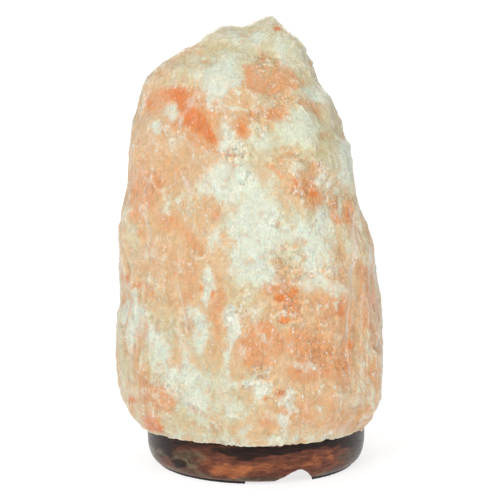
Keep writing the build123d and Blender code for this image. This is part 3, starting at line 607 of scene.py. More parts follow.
def inside(corners, x, z):
    """Signed distance to the outline of a face, negative inside it."""
    best = np.full(len(x), 1e9)
    odd = np.zeros(len(x), bool)
    k = len(corners)
    for i in range(k):
        (x0, z0), (x1, z1) = corners[i], corners[(i + 1) % k]
        ex, ez = x1 - x0, z1 - z0
        t = np.clip(((x - x0) * ex + (z - z0) * ez) / (ex * ex + ez * ez), 0, 1)
        best = np.minimum(best, np.hypot(x - x0 - t * ex, z - z0 - t * ez))
        cross = (z0 > z) != (z1 > z)
        odd ^= cross & (x < ex * (z - z0) / (ez if abs(ez) > 1e-9 else 1e-9) + x0)
    return np.where(odd, -best, best)


def paint_faces(fields, ax, az, wx, wz, front):
    for layer, s, soft, corners in FACES:
        xs, zs = [c[0] for c in corners], [c[1] for c in corners]
        sel = np.nonzero((ax > min(xs) - 3) & (ax < max(xs) + 3) & (az > min(zs) - 3) & (az < max(zs) + 3) & (front > 0))[0]
        if len(sel):
            val = s * smooth(soft, -soft, inside(corners, ax[sel] + wx[sel], az[sel] + wz[sel]))
            f = fields[layer]
            f[sel] = 1 - (1 - f[sel]) * (1 - val)


def hold_outline(p, hold, rounds, width, strength=1.0):
    """Ease the block sideways to its own outline as seen from the front."""
    zt = np.arange(22.0, 213.0, width)
    want_l = np.interp(zt, OUTLINE[:, 0], OUTLINE[:, 1])
    want_r = np.interp(zt, OUTLINE[:, 0], OUTLINE[:, 2])
    for _ in range(rounds):
        ax, az = seen_from_front(p)
        b = np.round((az - zt[0]) / width).astype(int)
        use = (b >= 0) & (b < len(zt))
        hi = np.full(len(zt), -1e9)
        lo = np.full(len(zt), 1e9)
        np.maximum.at(hi, b[use], ax[use])
        np.minimum.at(lo, b[use], ax[use])
        good = hi > -1e8
        hi = np.interp(zt, zt[good], hi[good])
        lo = np.interp(zt, zt[good], lo[good])
        sr, sl = want_r - hi, want_l - lo
        ker = np.array([1.0, 2.0, 1.0]) / 4
        for _k in range(2):
            sr = np.convolve(np.pad(sr, 1, "edge"), ker, "valid")
            sl = np.convolve(np.pad(sl, 1, "edge"), ker, "valid")
        mid = 0.5 * (want_l + want_r)
        half = 0.5 * (want_r - want_l)
        t = (ax - np.interp(az, zt, mid)) / np.maximum(np.interp(az, zt, half), 4.0)
        w = smooth(0.1, 0.9, np.abs(t)) * smooth(207.0, 200.0, az)
        mv = np.where(t > 0, np.interp(az, zt, sr), np.interp(az, zt, sl)) * w
        mv = np.clip(mv, -6, 6) * strength
        p = p + np.stack([mv * hold, np.zeros(len(p)), np.zeros(len(p))], 1)
    return p


def hold_crown(p, rounds, width, strength=1.0):
    """Ease the top up or down to its own outline."""
    xt = np.arange(-40.0, 25.0, width)
    want = np.interp(xt, CROWN[:, 0], CROWN[:, 1])
    for _ in range(rounds):
        ax, az = seen_from_front(p)
        b = np.round((ax - xt[0]) / width).astype(int)
        use = (b >= 0) & (b < len(xt)) & (az > 150)
        hi = np.full(len(xt), -1e9)
        np.maximum.at(hi, b[use], az[use])
        sh = want - hi
        sh = np.convolve(np.pad(sh, 1, "edge"), np.array([1.0, 2.0, 1.0]) / 4, "valid")
        sx = np.interp(ax, xt, sh) * smooth(-42.0, -34.0, ax) * smooth(28.0, 22.0, ax)
        depth = np.interp(ax, xt, hi) - az
        mv = np.clip(sx, -6, 6) * smooth(20.0, 2.0, depth) * strength
        p = p + np.stack([np.zeros(len(p)), np.zeros(len(p)), mv], 1)
    return p


def make_crystal():
    src = bpy.data.objects["salt_crystal"]
    voxel = (1.3 if QUICK else 0.8) * MM
    o = remesh("crystal_block", src, voxel)
    me = o.data
    p = get_points(me) / MM
    e = edges_of(me)
    n_v = len(p)

    rho = np.hypot(p[:, 0], p[:, 1])
    in_bore = (rho < BORE_R + 1.3) & (p[:, 2] < BORE_TOP + 1.3)
    for ang in (-8, 112, 232):
        c = (41 * math.cos(math.radians(ang)), 41 * math.sin(math.radians(ang)))
        in_bore |= (np.hypot(p[:, 0] - c[0], p[:, 1] - c[1]) < 4.6) & (p[:, 2] < 41.5)
    on_cut = (p[:, 2] < BASE_TOP + 0.5) & ~in_bore
    free = (~in_bore).astype(float)
    free[on_cut & (rho < 47)] = 0.0
    # how far a vertex may move: nothing in the bore or on the sawn face
    hold = relax(free[:, None], e, n_v, 4, 0.6)[:, 0] * free
    level = on_cut

    def moved(p, v):
        q = p + v
        q[level, 2] = p[level, 2]
        q[:, 2] = np.where(~in_bore, np.maximum(q[:, 2], BASE_TOP), q[:, 2])
        return q

    # round off the loft's own corners
    q = relax(p, e, n_v, 26 if not QUICK else 10, 0.6, keep=free)
    p = moved(p, q - p)
    set_points(me, p * MM)
    n = get_normals(me)

    def soft_normals(n, rounds):
        m = relax(n, e, n_v, rounds, 0.6)
        return m / np.maximum(np.linalg.norm(m, axis=1), 1e-6)[:, None]

    def push(p, amount, rounds=0):
        if rounds:
            amount = relax(amount[:, None], e, n_v, rounds, 0.55)[:, 0]
        crown = 0.3 + 0.7 * smooth(211.0, 196.0, p[:, 2])
        q = moved(p, n * (amount * hold * crown)[:, None])
        set_points(me, q * MM)
        return q, get_normals(me)

    k = 1 if not QUICK else 0.4
    # broad lumps and hollows
    p, n = push(p, 3.2 * fbm(p / 40.0, 2, 11) + 1.6 * fbm(p / 16.0, 3, 23))
    # large broken faces that meet in ridges
    sn = soft_normals(n, int(30 * k))
    p, n = push(p, 0.85 * planes_over(p, sn, sn, 0, 8.0, (-0.9, 0.6), 24.0, 55, k=14, carve=False, limit=2.6, soft=0.16, even=19.0) + 0.5, 6)
    p = hold_crown(hold_outline(p, hold, 3, 1.4), 3, 1.6)
    set_points(me, p * MM)
    n = get_normals(me)
    # chips of two sizes, more of them in some places
    zone = smooth(-0.2, 0.2, fbm(p / 24.0, 2, 41))
    sn = soft_normals(n, int(14 * k))
    p, n = push(p, (0.35 + 0.65 * zone) * planes_over(p, sn, sn, 1300, 13.0, (-0.1, 0.75), 8.0, 56, k=10, limit=1.6, soft=0.05), 2)
    zone = smooth(-0.25, 0.15, fbm(p / 17.0, 2, 43))
    sn = soft_normals(n, int(8 * k))
    p, n = push(p, (0.25 + 0.75 * zone) * planes_over(p, sn, sn, 6000, 17.0, (-0.05, 0.42), 3.8, 57, k=9, limit=0.8), 1)
    p = hold_crown(hold_outline(p, hold, 2, 2.1, 0.8), 2, 1.6, 0.8)
    set_points(me, p * MM)
    n = get_normals(me)

    # --- colour fields ---
    ax, az = seen_from_front(p)
    soft_n = soft_normals(n, int(14 * k))
    view = CAM[None] - p
    view /= np.linalg.norm(view, axis=1)[:, None]
    front = smooth(-0.08, 0.2, (soft_n * view).sum(1))
    wx = 9.0 * fbm(p / 19.0, 2, 61) + 5.0 * fbm(p / 7.0, 2, 62) + 2.2 * fbm(p / 2.6, 2, 65)
    wz = 10.0 * fbm(p / 19.0, 2, 63) + 6.5 * fbm(p / 7.0, 2, 64) + 2.8 * fbm(p / 2.6, 2, 66)
    fields = paint(PATCHES, (O, W, D, Y, S, C), ax, az, wx, wz, front, 7.0)
    paint_faces(fields, ax, az, 0.16 * wx + 0.7 * perlin(p / 1.6, 67), 0.16 * wz + 0.7 * perlin(p / 1.6, 68), front)
    # the sides and the back, by the same kinds of zones
    veil = fbm(p / np.array([30.0, 30.0, 44.0]), 3, 71)
    rest = {
        O: smooth(-0.12, 0.38, fbm(p / np.array([17.0, 17.0, 22.0]), 4, 72) + 0.3 * veil) * 0.85,
        W: smooth(-0.08, 0.32, fbm(p / np.array([15.0, 15.0, 24.0]), 4, 73) - 0.35 * veil) * 0.95,
        D: smooth(0.24, 0.5, fbm(p / 9.0, 4, 74) + 0.35 * veil) * 0.9,
        Y: smooth(-0.05, 0.4, fbm(p / 26.0, 3, 75)) * 0.8,
        S: smooth(-0.02, 0.32, fbm(p / 14.0, 3, 76)),
        C: smooth(-0.2, 0.25, fbm(p / 34.0, 3, 77) - 0.4 * veil),
    }
    for k2 in fields:
        fields[k2] = np.clip(fields[k2], 0, 1) * front + rest[k2] * (1 - front)

    # --- fine relief ---
    spark = fields[S]
    # grains of broken cubes where it sparkles
    tilted = p @ np.array([[0.86, 0.31, -0.40], [-0.24, 0.95, 0.22], [0.45, -0.09, 0.89]])
    d1, d2, r, c = cells(tilted / 3.0, 81)
    grain = ((tilted / 3.0 - c) * (r - 0.5) * 2.0).sum(1)
    fine = 0.5 * grain * (0.12 + 0.88 * spark)
    # long flutes down the sides
    flute = perlin(p * np.array([0.42, 0.42, 0.045]), 84)
    side = smooth(30, 52, p[:, 0]) * smooth(150, 110, p[:, 2]) + 0.8 * smooth(-34, -56, p[:, 0]) * smooth(120, 70, p[:, 2])
    fine += 0.6 * flute * np.clip(side, 0, 1)
    fine += 0.5 * fbm(p / 3.4, 3, 85)
    # cracks: narrow grooves where a warped sheet meets the surface
    crack = np.zeros(n_v)
    for i, (nx, ny, nz, off, zlo, zhi, gate) in enumerate([
        (0.93, 0.25, 0.28, -20.0, 40, 100, 0.0), (-0.35, 0.4, 0.85, 70.0, 0, 220, 0.1), (0.6, -0.3, 0.74, 95.0, 0, 220, 0.08),
        (0.97, 0.1, -0.1, 30.0, 30, 150, 0.05), (-0.2, 0.95, 0.2, 34.0, 20, 200, 0.05), (0.5, 0.8, -0.3, -20.0, 20, 200, 0.05),
        (0.98, 0.1, 0.05, -47.0, 100, 150, -0.1), (0.8, 0.5, 0.3, 60.0, 20, 200, 0.05), (0.5, -0.2, -0.85, -60.0, 20, 200, 0.08),
    ]):
        s = p[:, 0] * nx + p[:, 1] * ny + p[:, 2] * nz - off + 6.0 * fbm(p / 16.0, 3, 90 + i) + 1.2 * fbm(p / 4.0, 2, 190 + i)
        g = smooth(gate, gate + 0.15, fbm(p / 22.0, 2, 290 + i) + 0.05) * smooth(zlo, zlo + 8, p[:, 2]) * smooth(zhi, zhi - 8, p[:, 2])
        crack = np.maximum(crack, np.exp(-((s / 0.6) ** 2)) * g)
    fine -= 0.6 * crack
    # chips along the sawn edge
    edge = smooth(28.0, 20.5, p[:, 2])
    fine = fine * (1 - 0.6 * edge) - (0.9 * np.abs(fbm(p / 7.0, 2, 87)) + 1.8 * np.maximum(fbm(p / 2.4, 2, 88), 0) * smooth(24.0, 20.2, p[:, 2])) * edge
    p, n = push(p, fine, 1)
    p[on_cut & (rho < 47), 2] = np.minimum(p[on_cut & (rho < 47), 2], BASE_TOP + 0.001)
    # the sawn face ends where the wall above it does
    r_now = np.hypot(p[:, 0], p[:, 1])
    bins = (np.degrees(np.arctan2(p[:, 1], p[:, 0])) // 2).astype(int) % 180
    wall = ~on_cut & (p[:, 2] > 20.8) & (p[:, 2] < 22.8) & (r_now > 44)
    w_sum = np.bincount(bins[wall], r_now[wall], 180)
    w_cnt = np.maximum(np.bincount(bins[wall], minlength=180), 1)
    w_r = np.where(w_sum > 0, w_sum / w_cnt, 55.0) - 0.45
    w_r = (np.roll(w_r, 1) + 2 * w_r + np.roll(w_r, -1)) / 4
    rim = on_cut & (r_now > 45)
    r_max = np.full(180, 46.0)
    np.maximum.at(r_max, bins[rim], r_now[rim])
    t = (r_now[rim] - 45) / np.maximum(r_max[bins[rim]] - 45, 0.5)
    r_new = np.where(w_r[bins[rim]] < r_max[bins[rim]], 45 + t * (w_r[bins[rim]] - 45), r_now[rim])
    p[rim, 0] *= r_new / r_now[rim]
    p[rim, 1] *= r_new / r_now[rim]
    # no burrs there, nor anywhere else
    out = np.hypot(p[:, 0], p[:, 1])
    loose = smooth(46.0, 49.0, out) * smooth(26.0, 23.0, p[:, 2]) * free
    p = relax(p, e, n_v, 3 if QUICK else 7, 0.6, keep=loose)
    for _ in range(2):
        eased = relax(p, e, n_v, 3, 0.5, keep=free)
        w = smooth(0.22, 0.5, np.linalg.norm(p - eased, axis=1)) * np.where(on_cut & (out < 48), 0.0, free)
        p = p + (eased - p) * w[:, None]
    p[:, 2] = np.where(~in_bore & (out > 46), np.maximum(p[:, 2], BASE_TOP), p[:, 2])
    # small chips broken off its lower edge
    q2 = p * np.array([1.0, 1.0, 0.25])
    chip = 0.6 * smooth(0.02, 0.14, fbm(q2 / 5.6, 2, 95)) + 0.65 * smooth(0.06, 0.2, fbm(q2 / 2.2, 2, 96)) * smooth(-0.1, 0.1, fbm(q2 / 11.0, 2, 98)) + 0.5 * smooth(0.10, 0.26, fbm(q2 / 9.0, 2, 97))
    out = np.hypot(p[:, 0], p[:, 1])
    reach = np.interp(p[:, 2], [20.0, 20.6, 24.5], [1.0, 0.9, 0.0]) * np.where(on_cut, smooth(48.5, 51.5, out), 1.0) * free
    p[:, 2] += np.where(out > 46, chip * reach, 0.0)
    set_points(me, p * MM)

    # ridges and hollows of the finished surface, at two sizes; the material uses these to paint shade into the hollows
    # and highlight onto the ridges
    n = get_normals(me)
    near = relax(p, e, n_v, 4 if QUICK else 7, 0.6)
    wide = relax(near, e, n_v, 16 if QUICK else 34, 0.6)
    fine_r = ((p - near) * n).sum(1) / 0.16
    wide_r = ((near - wide) * n).sum(1) / 0.42
    ridge = np.clip(0.5 + 0.28 * fine_r + 0.14 * wide_r, 0, 1)
    ridge = relax(ridge[:, None], e, n_v, 1, 0.5)[:, 0]

    # --- attributes for the material ---
    one = np.ones(n_v)
    for name, cols in (
        ("salt_a", (fields[O], fields[W], fields[D])),
        ("salt_b", (fields[S], fields[Y], crack)),
        ("salt_c", (fields[C], ridge, np.clip(side, 0, 1))),
    ):
        at = me.color_attributes.new(name, "FLOAT_COLOR", "POINT")
        at.data.foreach_set("color", np.stack([*cols, one], 1).astype(np.float32).ravel())
    shade_smooth(me)
    if not QUICK:
        mod = o.modifiers.new("thin", "DECIMATE")
        mod.ratio = min(1.0, 196000.0 / (2 * len(me.polygons)))
        mod.use_collapse_triangulate = True
        dg = bpy.context.evaluated_depsgraph_get()
        dg.update()
        new = bpy.data.meshes.new_from_object(o.evaluated_get(dg))
        o.modifiers.clear()
        o.data = new
        shade_smooth(new)
    return o


crystal = make_crystal()

# --- rock salt ---
m = Mat("rock_salt")
co = m.coord()


def attr(name):
    n = m.new("ShaderNodeAttribute", attribute_name=name)
    q = m.new("ShaderNodeSeparateColor")
    m.link(n.outputs["Color"], q.inputs[0])
    return q.outputs[0], q.outputs[1], q.outputs[2]


orange, white, deep = attr("salt_a")
spark, yellow, crack = attr("salt_b")
pale, ridge, side = attr("salt_c")
n_big = m.noise(m.mapping(co, (1, 1, 0.6)), 95.0, 4.0, 0.55, 0.6)
n_mid = m.noise(m.mapping(co, (1, 1, 0.55)), 260.0, 5.0, 0.62, 0.5)
n_fine = m.noise(co, 760.0, 4.0, 0.65, 0.3)
n_grit = m.noise(co, 1700.0, 3.0, 0.7)
streak = m.noise(m.mapping(co, (1, 1, 0.16), rot=(0.1, 0.12, 0)), 420.0, 4.0, 0.6, 0.4)


def around(x):
    return m.math("SUBTRACT", x, 0.5)


def add(*xs):
    out = xs[0]
    for x in xs[1:]:
        out = m.math("ADD", out, x)
    return out


def mul(*xs):
    out = xs[0]
    for x in xs[1:]:
        out = m.math("MULTIPLY", out, x)
    return out


def ragged(field, lo, hi, big=1.5, mid=1.5, fine=0.9):
    """A zone with an edge broken up by the grain of the salt."""
    return m.step(add(field, mul(around(n_big), big), mul(around(n_mid), mid), mul(around(n_fine), fine)), lo, hi)


base = m.mix(m.step(n_big, 0.36, 0.64), lin(228, 192, 144), lin(224, 177, 124))
base = m.mix(mul(ragged(pale, 0.05, 0.75), 0.88), base, lin(211, 206, 166))
col = m.mix(mul(m.step(n_mid, 0.5, 0.72), 0.4), base, lin(230, 220, 192))
col = m.mix(mul(m.step(n_fine, 0.52, 0.7), 0.3), col, lin(236, 230, 208))
col = m.mix(mul(yellow, 0.4), col, lin(226, 206, 150))
# orange spreads into the hollows and off the ridges, partly as painted shade
col = m.mix(mul(ragged(add(orange, mul(around(ridge), -0.2)), 0.0, 0.92, 1.1, 1.3, 1.0), 0.94), col, lin(228, 158, 98))
glow = ragged(deep, 0.08, 1.0, 0.7, 0.9, 0.7)
col = m.mix(mul(glow, 0.97), col, m.mix(glow, lin(232, 146, 60), lin(228, 120, 12)))
frost = m.mix(mul(yellow, 0.5), lin(228, 237, 221), lin(224, 227, 190))
# frost spreads onto the ridges, partly frosted edges and partly painted highlight
col = m.mix(mul(ragged(add(white, mul(around(ridge), 0.3)), -0.02, 0.88, 1.1, 1.4, 1.2), 0.86), col, frost)
# ridges painted whiter, partly the salt's bruised, frosted edges and partly painted highlight; hollows painted a
# darker, deeper orange as painted shade
col = m.mix(mul(m.step(ridge, 0.56, 0.95), 0.55, m.math("SUBTRACT", 1.0, mul(glow, 0.7))), col, lin(236, 231, 207))
col = m.mix(mul(m.step(ridge, 0.42, 0.08), 0.42), col, lin(218, 150, 94))
# wisps of frost inside the salt
wisp = m.noise(m.mapping(co, (1, 1, 0.3), rot=(0.15, 0.2, 0.1)), 150.0, 4.0, 0.6, 1.4)
wisp = m.step(m.math("ABSOLUTE", around(wisp)), 0.035, 0.0)
wisp = mul(wisp, m.step(n_big, 0.42, 0.62), 0.42)
col = m.mix(wisp, col, lin(232, 234, 216))
col = m.mix(mul(m.step(streak, 0.56, 0.72), add(mul(side, 0.5), 0.16)), col, lin(236, 226, 202))
col = m.mix(mul(m.step(streak, 0.42, 0.3), add(mul(side, 0.4), 0.10)), col, lin(216, 150, 104))
bands = m.noise(m.mapping(co, (1, 1, 0.13), rot=(0.08, 0.1, 0)), 150.0, 3.0, 0.55, 0.5)
col = m.mix(mul(m.step(bands, 0.52, 0.66), add(mul(side, 0.55), 0.10)), col, lin(232, 224, 198))
col = m.mix(mul(m.step(bands, 0.48, 0.36), add(mul(side, 0.5), 0.06)), col, lin(222, 158, 106))
col = m.mix(mul(glow, 0.5), col, lin(231, 128, 30))
# white flecks, partly frost and partly painted glints, most of them in the sparkle zones, and small dark seams beside
# them
sliver_a = m.step(m.voronoi(m.mapping(co, (1.5, 1.5, 0.55), rot=(0.5, 0.2, 0.3)), 640.0), 0.24, 0.10)
sliver_b = m.step(m.voronoi(m.mapping(co, (1.5, 1.5, 0.5), rot=(-0.4, 0.9, 0.6)), 560.0), 0.24, 0.10)
fleck = mul(m.math("MAXIMUM", sliver_a, sliver_b), m.step(m.noise(co, 170.0, 2.0), 0.46, 0.62), add(mul(spark, 0.6), 0.14), m.math("SUBTRACT", 1.0, mul(glow, 0.6)))
col = m.mix(fleck, col, lin(250, 250, 240))
seam = mul(m.step(m.voronoi(m.mapping(co, (1, 1, 0.7), rot=(0.3, 0.5, 0.2)), 300.0, "DISTANCE_TO_EDGE"), 0.05, 0.0), m.step(m.noise(co, 210.0, 3.0), 0.55, 0.7), add(mul(spark, 0.85), 0.16))
col = m.mix(mul(seam, 0.75), col, lin(186, 118, 70))
col = m.mix(mul(crack, 0.6), col, lin(244, 240, 226))
# grains: each small cleavage face has its own tone
near_spark = m.step(add(spark, mul(around(n_big), 1.6), mul(around(n_mid), 1.0)), 0.0, 0.8, kind="LINEAR")
rc1 = m.mapping(co, (1, 1, 0.8), rot=(0.4, 0.3, 0.2))
rc2 = m.mapping(m.vmath("ADD", co, m.vmath("SCALE", m.vmath("SUBTRACT", m.noise(co, 900.0, 2.0, 0.5, out="Color"), (0.5, 0.5, 0.5)), scale=0.0012)), (1.3, 0.9, 0.7), rot=(0.9, 0.3, 0.5))
cell1 = m.voronoi(rc1, 560.0, out="Color")
cell2 = m.voronoi(rc2, 1250.0, out="Color")
s1 = m.new("ShaderNodeSeparateColor")
m.link(cell1, s1.inputs[0])
s2 = m.new("ShaderNodeSeparateColor")
m.link(cell2, s2.inputs[0])
tone = add(1.0, mul(around(s1.outputs[0]), add(0.12, mul(near_spark, 0.22))), mul(around(s2.outputs[0]), add(0.13, mul(near_spark, 0.20))), mul(around(n_grit), 0.35))
col = m.mix(1.0, col, m.vmath("SCALE", (1.0, 1.0, 1.0), scale=tone), "MULTIPLY")
# painted glints: scattered grains, most in the sparkle zones and on ridges, painted near white as though catching the
# light
painted_glint = m.math("GREATER_THAN", add(s2.outputs[1], mul(near_spark, 0.052), mul(around(n_mid), 0.25), mul(around(ridge), 0.06)), 1.0)
col = m.mix(mul(painted_glint, 0.62), col, lin(252, 251, 244))
dusk = m.math("GREATER_THAN", add(s2.outputs[2], mul(near_spark, 0.04), mul(around(n_fine), 0.3)), 1.0)
col = m.mix(mul(dusk, 0.45), col, lin(196, 132, 84))
m.set("Base Color", col)
m.set("Roughness", m.math("SUBTRACT", add(0.12, mul(n_mid, 0.40), mul(white, 0.12)), mul(spark, 0.1)))
m.b.inputs["IOR"].default_value = 1.54
m.b.inputs["Subsurface Weight"].default_value = 0.46
m.b.inputs["Subsurface Radius"].default_value = (1.0, 0.55, 0.36)
m.b.inputs["Subsurface Scale"].default_value = 0.0022
# small cleavage faces, each tilted its own way, and a fine skin
tiltv = m.vmath("ADD", m.vmath("SCALE", m.vmath("SUBTRACT", cell1, (0.5, 0.5, 0.5)), scale=1.0), m.vmath("SCALE", m.vmath("SUBTRACT", cell2, (0.5, 0.5, 0.5)), scale=0.8))
geo = m.new("ShaderNodeNewGeometry")
def leaning(amount):
    return m.vmath("NORMALIZE", m.vmath("ADD", geo.outputs["Normal"], m.vmath("SCALE", tiltv, scale=amount)))


h = add(mul(n_mid, 1.8), mul(n_fine, 1.0), mul(n_grit, 0.4), mul(streak, add(0.3, mul(side, 1.2))))
m.set("Normal", m.bump(h, 0.8, 0.0014, leaning(add(mul(near_spark, 0.34), 0.05))))
m.b.inputs["Coat Weight"].default_value = 0.34
m.b.inputs["Coat Roughness"].default_value = 0.14
m.b.inputs["Coat IOR"].default_value = 1.54
m.set("Coat Normal", m.bump(h, 0.5, 0.0012, leaning(add(mul(near_spark, 0.9), 0.15))))
salt = m.m
crystal.data.materials.clear()
crystal.data.materials.append(salt)
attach(crystal, "lamp")
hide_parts("salt_crystal")

# ---------------------------------------------------------------------------
# The wooden base
# ---------------------------------------------------------------------------


def notch_cutter():
    """The right side of the notch, cut straight back to the recess."""
    right = [(21.2, 6.3), (22.6, 5.7), (23.7, 4.6), (24.7, 3.0), (25.5, 1.5), (26.0, -2.0)]
    near = [(18.6, -2.0), (18.6, 5.9), (19.8, 6.3)] + right
    far = [(8.8, -2.0), (8.8, 5.9), (10.0, 6.3)] + [(x + 0.6, z) for x, z in right]
    k = len(near)
    verts = [(x * MM, -50.5 * MM, z * MM) for x, z in near] + [(x * MM, -24.0 * MM, z * MM) for x, z in far]
    faces = [tuple(range(k)), tuple(range(2 * k - 1, k - 1, -1))] + [(i, i + k, (i + 1) % k + k, (i + 1) % k) for i in range(k)]
    cut = bpy.data.meshes.new("notch_cut")
    cut.from_pydata(verts, [], faces)
    bm = bmesh.new()
    bm.from_mesh(cut)
    bmesh.ops.triangulate(bm, faces=bm.faces)
    bmesh.ops.recalc_face_normals(bm, faces=bm.faces)
    bm.to_mesh(cut)
    bm.free()
    o = bpy.data.objects.new("notch_cut", cut)
    scene.collection.objects.link(o)
    return o


def make_felt():
    """The felt ring, with a cut edge and a slightly fibrous surface."""
    src = bpy.data.objects["felt_ring"]
    me = src.data.copy()
    me.materials.clear()
    o = bpy.data.objects.new("felt_pad", me)
    scene.collection.objects.link(o)
    co = notch_cutter()
    mod = o.modifiers.new("notch", "BOOLEAN")
    mod.operation = "DIFFERENCE"
    mod.solver = "EXACT"
    mod.object = co
    mod = o.modifiers.new("remesh", "REMESH")
    mod.mode = "VOXEL"
    mod.voxel_size = (0.6 if QUICK else 0.4) * MM
    dg = bpy.context.evaluated_depsgraph_get()
    dg.update()
    new = bpy.data.meshes.new_from_object(o.evaluated_get(dg))
    o.modifiers.clear()
    o.data = new
    bpy.data.objects.remove(co)
    p = get_points(new) / MM
    n = get_normals(new)
    q = p + n * (0.13 * fbm(p / 1.1, 2, 501) + 0.25 * fbm(p / 9.0, 2, 502) * (1 - np.abs(n[:, 2])))[:, None]
    q[:, 2] = np.clip(q[:, 2], 0.0, 1.19)
    set_points(new, q * MM)
    shade_smooth(new)
    return o


def make_base():
    """The turned base, with its notch opened out by hand and the slight unevenness of stained wood."""
    src = bpy.data.objects["wooden_base"]
    me = src.data.copy()
    me.materials.clear()
    o = bpy.data.objects.new("turned_base", me)
    scene.collection.objects.link(o)
    co = notch_cutter()
    mod = o.modifiers.new("notch", "BOOLEAN")
    mod.operation = "DIFFERENCE"
    mod.solver = "EXACT"
    mod.object = co
    mod = o.modifiers.new("remesh", "REMESH")
    mod.mode = "VOXEL"
    mod.voxel_size = (1.0 if QUICK else 0.5) * MM
    dg = bpy.context.evaluated_depsgraph_get()
    dg.update()
    new = bpy.data.meshes.new_from_object(o.evaluated_get(dg))
    o.modifiers.clear()
    o.data = new
    bpy.data.objects.remove(co)
    me = new
    p = get_points(me) / MM
    e = edges_of(me)
    n_v = len(p)
    rho = np.hypot(p[:, 0], p[:, 1])
    flat = (p[:, 2] < 1.45) | (p[:, 2] > 19.75)
    outer = (rho > 33.5).astype(float)
    hold = np.where(flat, 0.0, 1.0) * outer
    p0 = p
    p = relax(p, e, n_v, 3, 0.5)
    p[flat, 2] = p0[flat, 2]
    set_points(me, p * MM)
    n = get_normals(me)
    az_deg = np.degrees(np.arctan2(p[:, 0], -p[:, 1]))
    notch = smooth(9.0, 6.5, p[:, 2]) * smooth(-2.0, 4.0, az_deg) * smooth(40.0, 34.0, az_deg) * (rho > 30)
    move = 0.14 * fbm(p / np.array([14.0, 14.0, 6.0]), 3, 401) + 0.30 * fbm(p / 2.4, 2, 402) * notch
    # small dents along the two rims
    rim = smooth(18.6, 19.8, p[:, 2]) + smooth(2.8, 1.6, p[:, 2])
    move -= 0.5 * np.maximum(fbm(p / 4.0, 2, 403) - 0.12, 0) * rim * (rho > 46)
    p = p + n * (move * hold)[:, None]
    p[flat, 2] = p0[flat, 2]
    set_points(me, p * MM)
    ax, az = seen_from_front(p)
    view = CAM[None] - p
    view /= np.linalg.norm(view, axis=1)[:, None]
    front = smooth(-0.05, 0.12, (n * view).sum(1))
    q = p * np.array([0.5, 0.5, 1.3])
    wx = 9.0 * fbm(q / 8.0, 3, 411) + 3.0 * fbm(q / 2.4, 2, 412)
    wz = 3.4 * fbm(q / 8.0, 3, 413) + 1.2 * fbm(q / 2.4, 2, 414)
    f = paint(WOOD, ("dark", "bright", "olive"), ax, az, wx, wz, front, 2.5)
    under = smooth(-0.3, -0.8, n[:, 2])
    g = p / np.array([13.0, 13.0, 5.0])
    # away from the front: random stain, lighter and olive zones, and all round the top a dark band of painted shadow
    # under the overhanging salt; all of the dark is eased on faces turned down
    rest = {
        "dark": np.maximum(smooth(0.0, 0.3, fbm(g, 3, 421)) * 0.9, smooth(12.5, 16.5, p[:, 2] + 4 * fbm(p / 7.0, 2, 424))),
        "bright": smooth(0.0, 0.35, fbm(g, 3, 422)) * 0.9,
        "olive": smooth(0.05, 0.35, fbm(g, 3, 423)) * 0.6,
    }
    rest["dark"] *= 1 - 0.6 * under
    for k2 in f:
        f[k2] = f[k2] * front + rest[k2] * (1 - front)
    at = me.color_attributes.new("wood_a", "FLOAT_COLOR", "POINT")
    at.data.foreach_set("color", np.stack([f["dark"], f["bright"], f["olive"], np.ones(n_v)], 1).astype(np.float32).ravel())
    shade_smooth(me)
    if not QUICK:
        mod = o.modifiers.new("thin", "DECIMATE")
        mod.ratio = min(1.0, 110000.0 / (2 * len(me.polygons)))
        mod.use_collapse_triangulate = True
        dg = bpy.context.evaluated_depsgraph_get()
        dg.update()
        new = bpy.data.meshes.new_from_object(o.evaluated_get(dg))
        o.modifiers.clear()
        o.data = new
        shade_smooth(new)
    return o


base = make_base()

m = Mat("stained_wood")
co = m.coord()
nn = m.new("ShaderNodeAttribute", attribute_name="wood_a")
sep = m.new("ShaderNodeSeparateColor")
m.link(nn.outputs["Color"], sep.inputs[0])
dark, lit, olive = sep.outputs[0], sep.outputs[1], sep.outputs[2]
warp = m.noise(co, 40.0, 3.0, 0.5, out="Color")
wco = m.vmath("ADD", co, m.vmath("SCALE", m.vmath("SUBTRACT", warp, (0.5, 0.5, 0.5)), scale=0.006))
grain = m.noise(m.mapping(wco, (0.18, 0.4, 1.0)), 620.0, 6.0, 0.7, 0.5)
fibre = m.noise(m.mapping(wco, (0.10, 0.5, 1.4)), 1500.0, 4.0, 0.7)
pores = m.noise(m.mapping(wco, (0.12, 1.0, 1.3)), 2300.0, 3.0, 0.7)
mott = m.noise(m.mapping(wco, (0.6, 0.8, 1.0)), 210.0, 4.0, 0.6)


def zone(field, lo, hi, a=1.1, b=0.55):
    return m.step(m.math("ADD", m.math("ADD", field, m.math("MULTIPLY", m.math("SUBTRACT", mott, 0.5), a)), m.math("MULTIPLY", m.math("SUBTRACT", grain, 0.5), b)), lo, hi)


c = m.mix(m.step(grain, 0.38, 0.64), lin(84, 46, 34), lin(124, 72, 52))
# lighter wood, partly painted light on the lower front
c = m.mix(m.math("MULTIPLY", zone(lit, 0.15, 0.85), 0.92), c, m.mix(m.step(grain, 0.36, 0.64), lin(142, 80, 48), lin(178, 108, 66)))
# olive end grain, with painted sheen at the ends and a painted highlight along the bottom bevel
c = m.mix(m.math("MULTIPLY", zone(olive, 0.15, 1.0), 0.84), c, m.mix(m.step(mott, 0.4, 0.6), lin(62, 57, 44), lin(112, 103, 79)))
